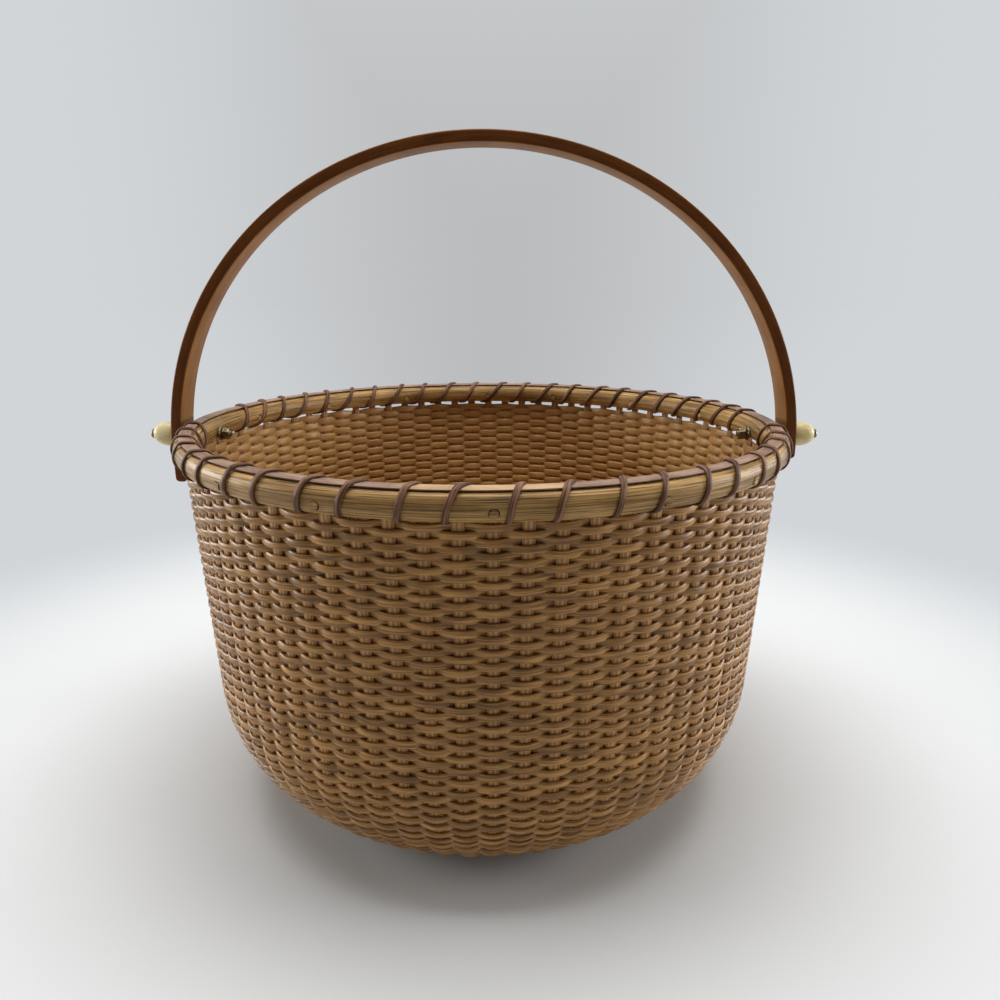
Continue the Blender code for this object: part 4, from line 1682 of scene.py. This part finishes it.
@dataclass(frozen=True)
class Studio:
    """The floor, the lamps, the background and the camera."""

    floor_colour: Colour = (0.65, 0.665, 0.67)
    floor_roughness: float = 0.7
    floor_grain: float = 0.99
    floor_grain_scale: float = 40.0
    # The backdrop's painted light: its colour straight ahead, and its brighter colour at the sides
    # and higher up
    deep_background: Colour = (0.495, 0.503, 0.508)
    side_background: Colour = (0.64, 0.665, 0.69)
    room: Colour = (0.11, 0.106, 0.10)
    floor_reach: float = 9.0
    fade_from: float = 0.24
    fade_to: float = 0.47
    lens: float = 27.04
    camera_place: tuple[float, float, float] = (0.0070, -0.3273, 0.0546)
    camera_tilt: float = math.radians(15.6)
    lamps: tuple[Lamp, ...] = (
        Lamp("top_lamp", (0, 0.06, 1.3), (1.3, 0.8), 20.0),
        Lamp("left_lamp", (-1.4, 0.24, 0.34), (0.8, 0.5), 14.5),
        Lamp("right_lamp", (1.4, 0.24, 0.34), (0.8, 0.5), 15.0),
    )

    def build_camera(self) -> None:
        """Sets the camera at the photograph's viewpoint."""
        data = bpy.data.cameras.new("camera")
        data.lens = self.lens
        data.clip_start = 0.01
        camera = new_object("camera", data)
        camera.location = Vector(self.camera_place) + Vector((0, 0, WALL.hoop_top))
        camera.rotation_euler = (QUARTER_TURN - self.camera_tilt, 0, 0)
        bpy.context.scene.camera = camera

    def background(self, direction: Value) -> Value:
        """The pale wall behind, with its light painted on: a little darker straight ahead, and
        brighter towards the sides and higher up.

        Args:
            direction: The way that is looked.

        Returns:
            The colour.
        """
        aside, deep = direction.part("X"), direction.part("Y")
        level = (aside * aside + deep * deep).root()
        high = direction.part("Z").eased(0.05, 0.45) * 0.6
        share = (aside / level).size().eased(0.0, 0.5).most(deep.eased(0.0, -0.1)).most(high)
        return direction.tree.mixed(share, self.deep_background, self.side_background)

    def build_floor(self) -> None:
        """Lays the floor, which far from the basket turns into a glow of the wall's painted colours
        for the rays that see the background.
        """
        shape = bmesh.new()
        bmesh.ops.create_grid(shape, x_segments=2, y_segments=2, size=self.floor_reach)
        floor = made_of("floor", shape)
        surface = Surface("floor_paper")
        place = surface.place()
        low = tuple(part * self.floor_grain for part in self.floor_colour)
        grain = surface.noise(place, self.floor_grain_scale)
        colour = surface.mixed(grain, low, self.floor_colour)
        surface.feed("Principled BSDF", "Base Color", colour)
        surface.feed("Principled BSDF", "Roughness", self.floor_roughness)
        # Far from the basket the floor glows, painted with the backdrop's colours and light, for
        # the rays that see the background
        far = surface.vector_math("LENGTH", place).out("Value").eased(self.fade_from, self.fade_to)
        glow = surface.node("ShaderNodeEmission", {"Color": self.background(place)})
        paper = Value(surface, surface.tree.nodes["Principled BSDF"].outputs[0])
        both = {0: far * surface.backdrop_rays(), 1: paper, 2: glow}
        surface.feed("Material Output", "Surface", surface.node("ShaderNodeMixShader", both))
        floor.data.materials.append(surface.material)

    def build_world(self) -> None:
        """Sets an even, dim room light, and the pale wall, with its painted light, that the camera
        sees.
        """
        world = bpy.data.worlds.new("studio")
        world.use_nodes = True
        tree = Tree(world.node_tree)
        direction = tree.node("ShaderNodeTexCoord", {}, "Generated")
        colour = tree.mixed(tree.backdrop_rays(), self.room, self.background(direction))
        tree.feed("Background", "Color", colour)
        tree.feed("Background", "Strength", 1.0)
        bpy.context.scene.world = world

    def build(self) -> None:
        """Builds the stage, the lights and the camera."""
        self.build_floor()
        self.build_world()
        for lamp in self.lamps:
            lamp.build()
        self.build_camera()
        bpy.context.scene.view_settings.view_transform = "Standard"


# The weaver's inner face is partly painted light, on top of its pith colour
CANE = CaneFinish(
    "weaver_cane",
    light=(0.50, 0.256, 0.072),
    middle=(0.275, 0.125, 0.028),
    dark=(0.09, 0.034, 0.005),
    roughness=0.36,
    coat=0.08,
    relief=0.00014,
    contrast=0.12,
    pith_and_inside_light_share=0.9,
)
MAUVE = CaneFinish(
    "lashing_mauve",
    light=(0.24, 0.125, 0.07),
    middle=(0.105, 0.045, 0.026),
    dark=(0.03, 0.011, 0.006),
    roughness=0.55,
    coat=0.03,
    relief=0.0002,
    contrast=0.1,
    fibres=11.0,
    specular=0.25,
)
STAVE = RibbedFinish("stave_rattan", light=(0.56, 0.30, 0.105), dark=(0.24, 0.115, 0.034))
STRAW = GrainFinish(
    "hoop_straw",
    light=(0.58, 0.36, 0.14),
    middle=(0.30, 0.165, 0.048),
    dark=(0.12, 0.055, 0.013),
    line=(0.035, 0.014, 0.003),
)
CAP = CapFinish(
    pale=(0.60, 0.40, 0.22),
    pale_dark=(0.34, 0.20, 0.09),
    dull=(0.36, 0.225, 0.15),
    dull_dark=(0.14, 0.075, 0.047),
)
# The handle's edge colours are painted shade, and its face colours are painted light
OILED = HandleFinish(
    "handle_oiled",
    edge=(0.078, 0.02, 0.0025),
    shaded_edge_light=(0.145, 0.046, 0.007),
    face=(0.21, 0.092, 0.027),
    lit_face_light=(0.37, 0.185, 0.068),
)
BOARD = TurnedWoodFinish("base_board", light=(0.26, 0.14, 0.06), dark=(0.13, 0.065, 0.025))
BONE = BoneFinish("knob_bone", light=(0.72, 0.62, 0.34), dark=(0.52, 0.42, 0.18))
BRONZE = BronzeFinish("pivot_bronze", bright=(0.30, 0.24, 0.13), dark=(0.06, 0.05, 0.03))


def main() -> None:
    """Builds the basket and its studio, piece by piece."""
    logging.basicConfig(level=logging.INFO, format="%(message)s")
    pivot_height = frame["joints"][0]["pos_m"][2]
    Base(BOARD).build()
    Staves(STAVE).build()
    Weave(CANE).build()
    Rim(STRAW, CAP, MAUVE, pivot_height).build()
    Handle(OILED, pivot_height).build()
    bone, metal = BONE.build(), BRONZE.build()
    for side, angle in (("left", -QUARTER_TURN), ("right", QUARTER_TURN)):
        Pivot(bone, metal, side, angle, pivot_height).build()
    Studio().build()


if __name__ == "__main__":
    main()
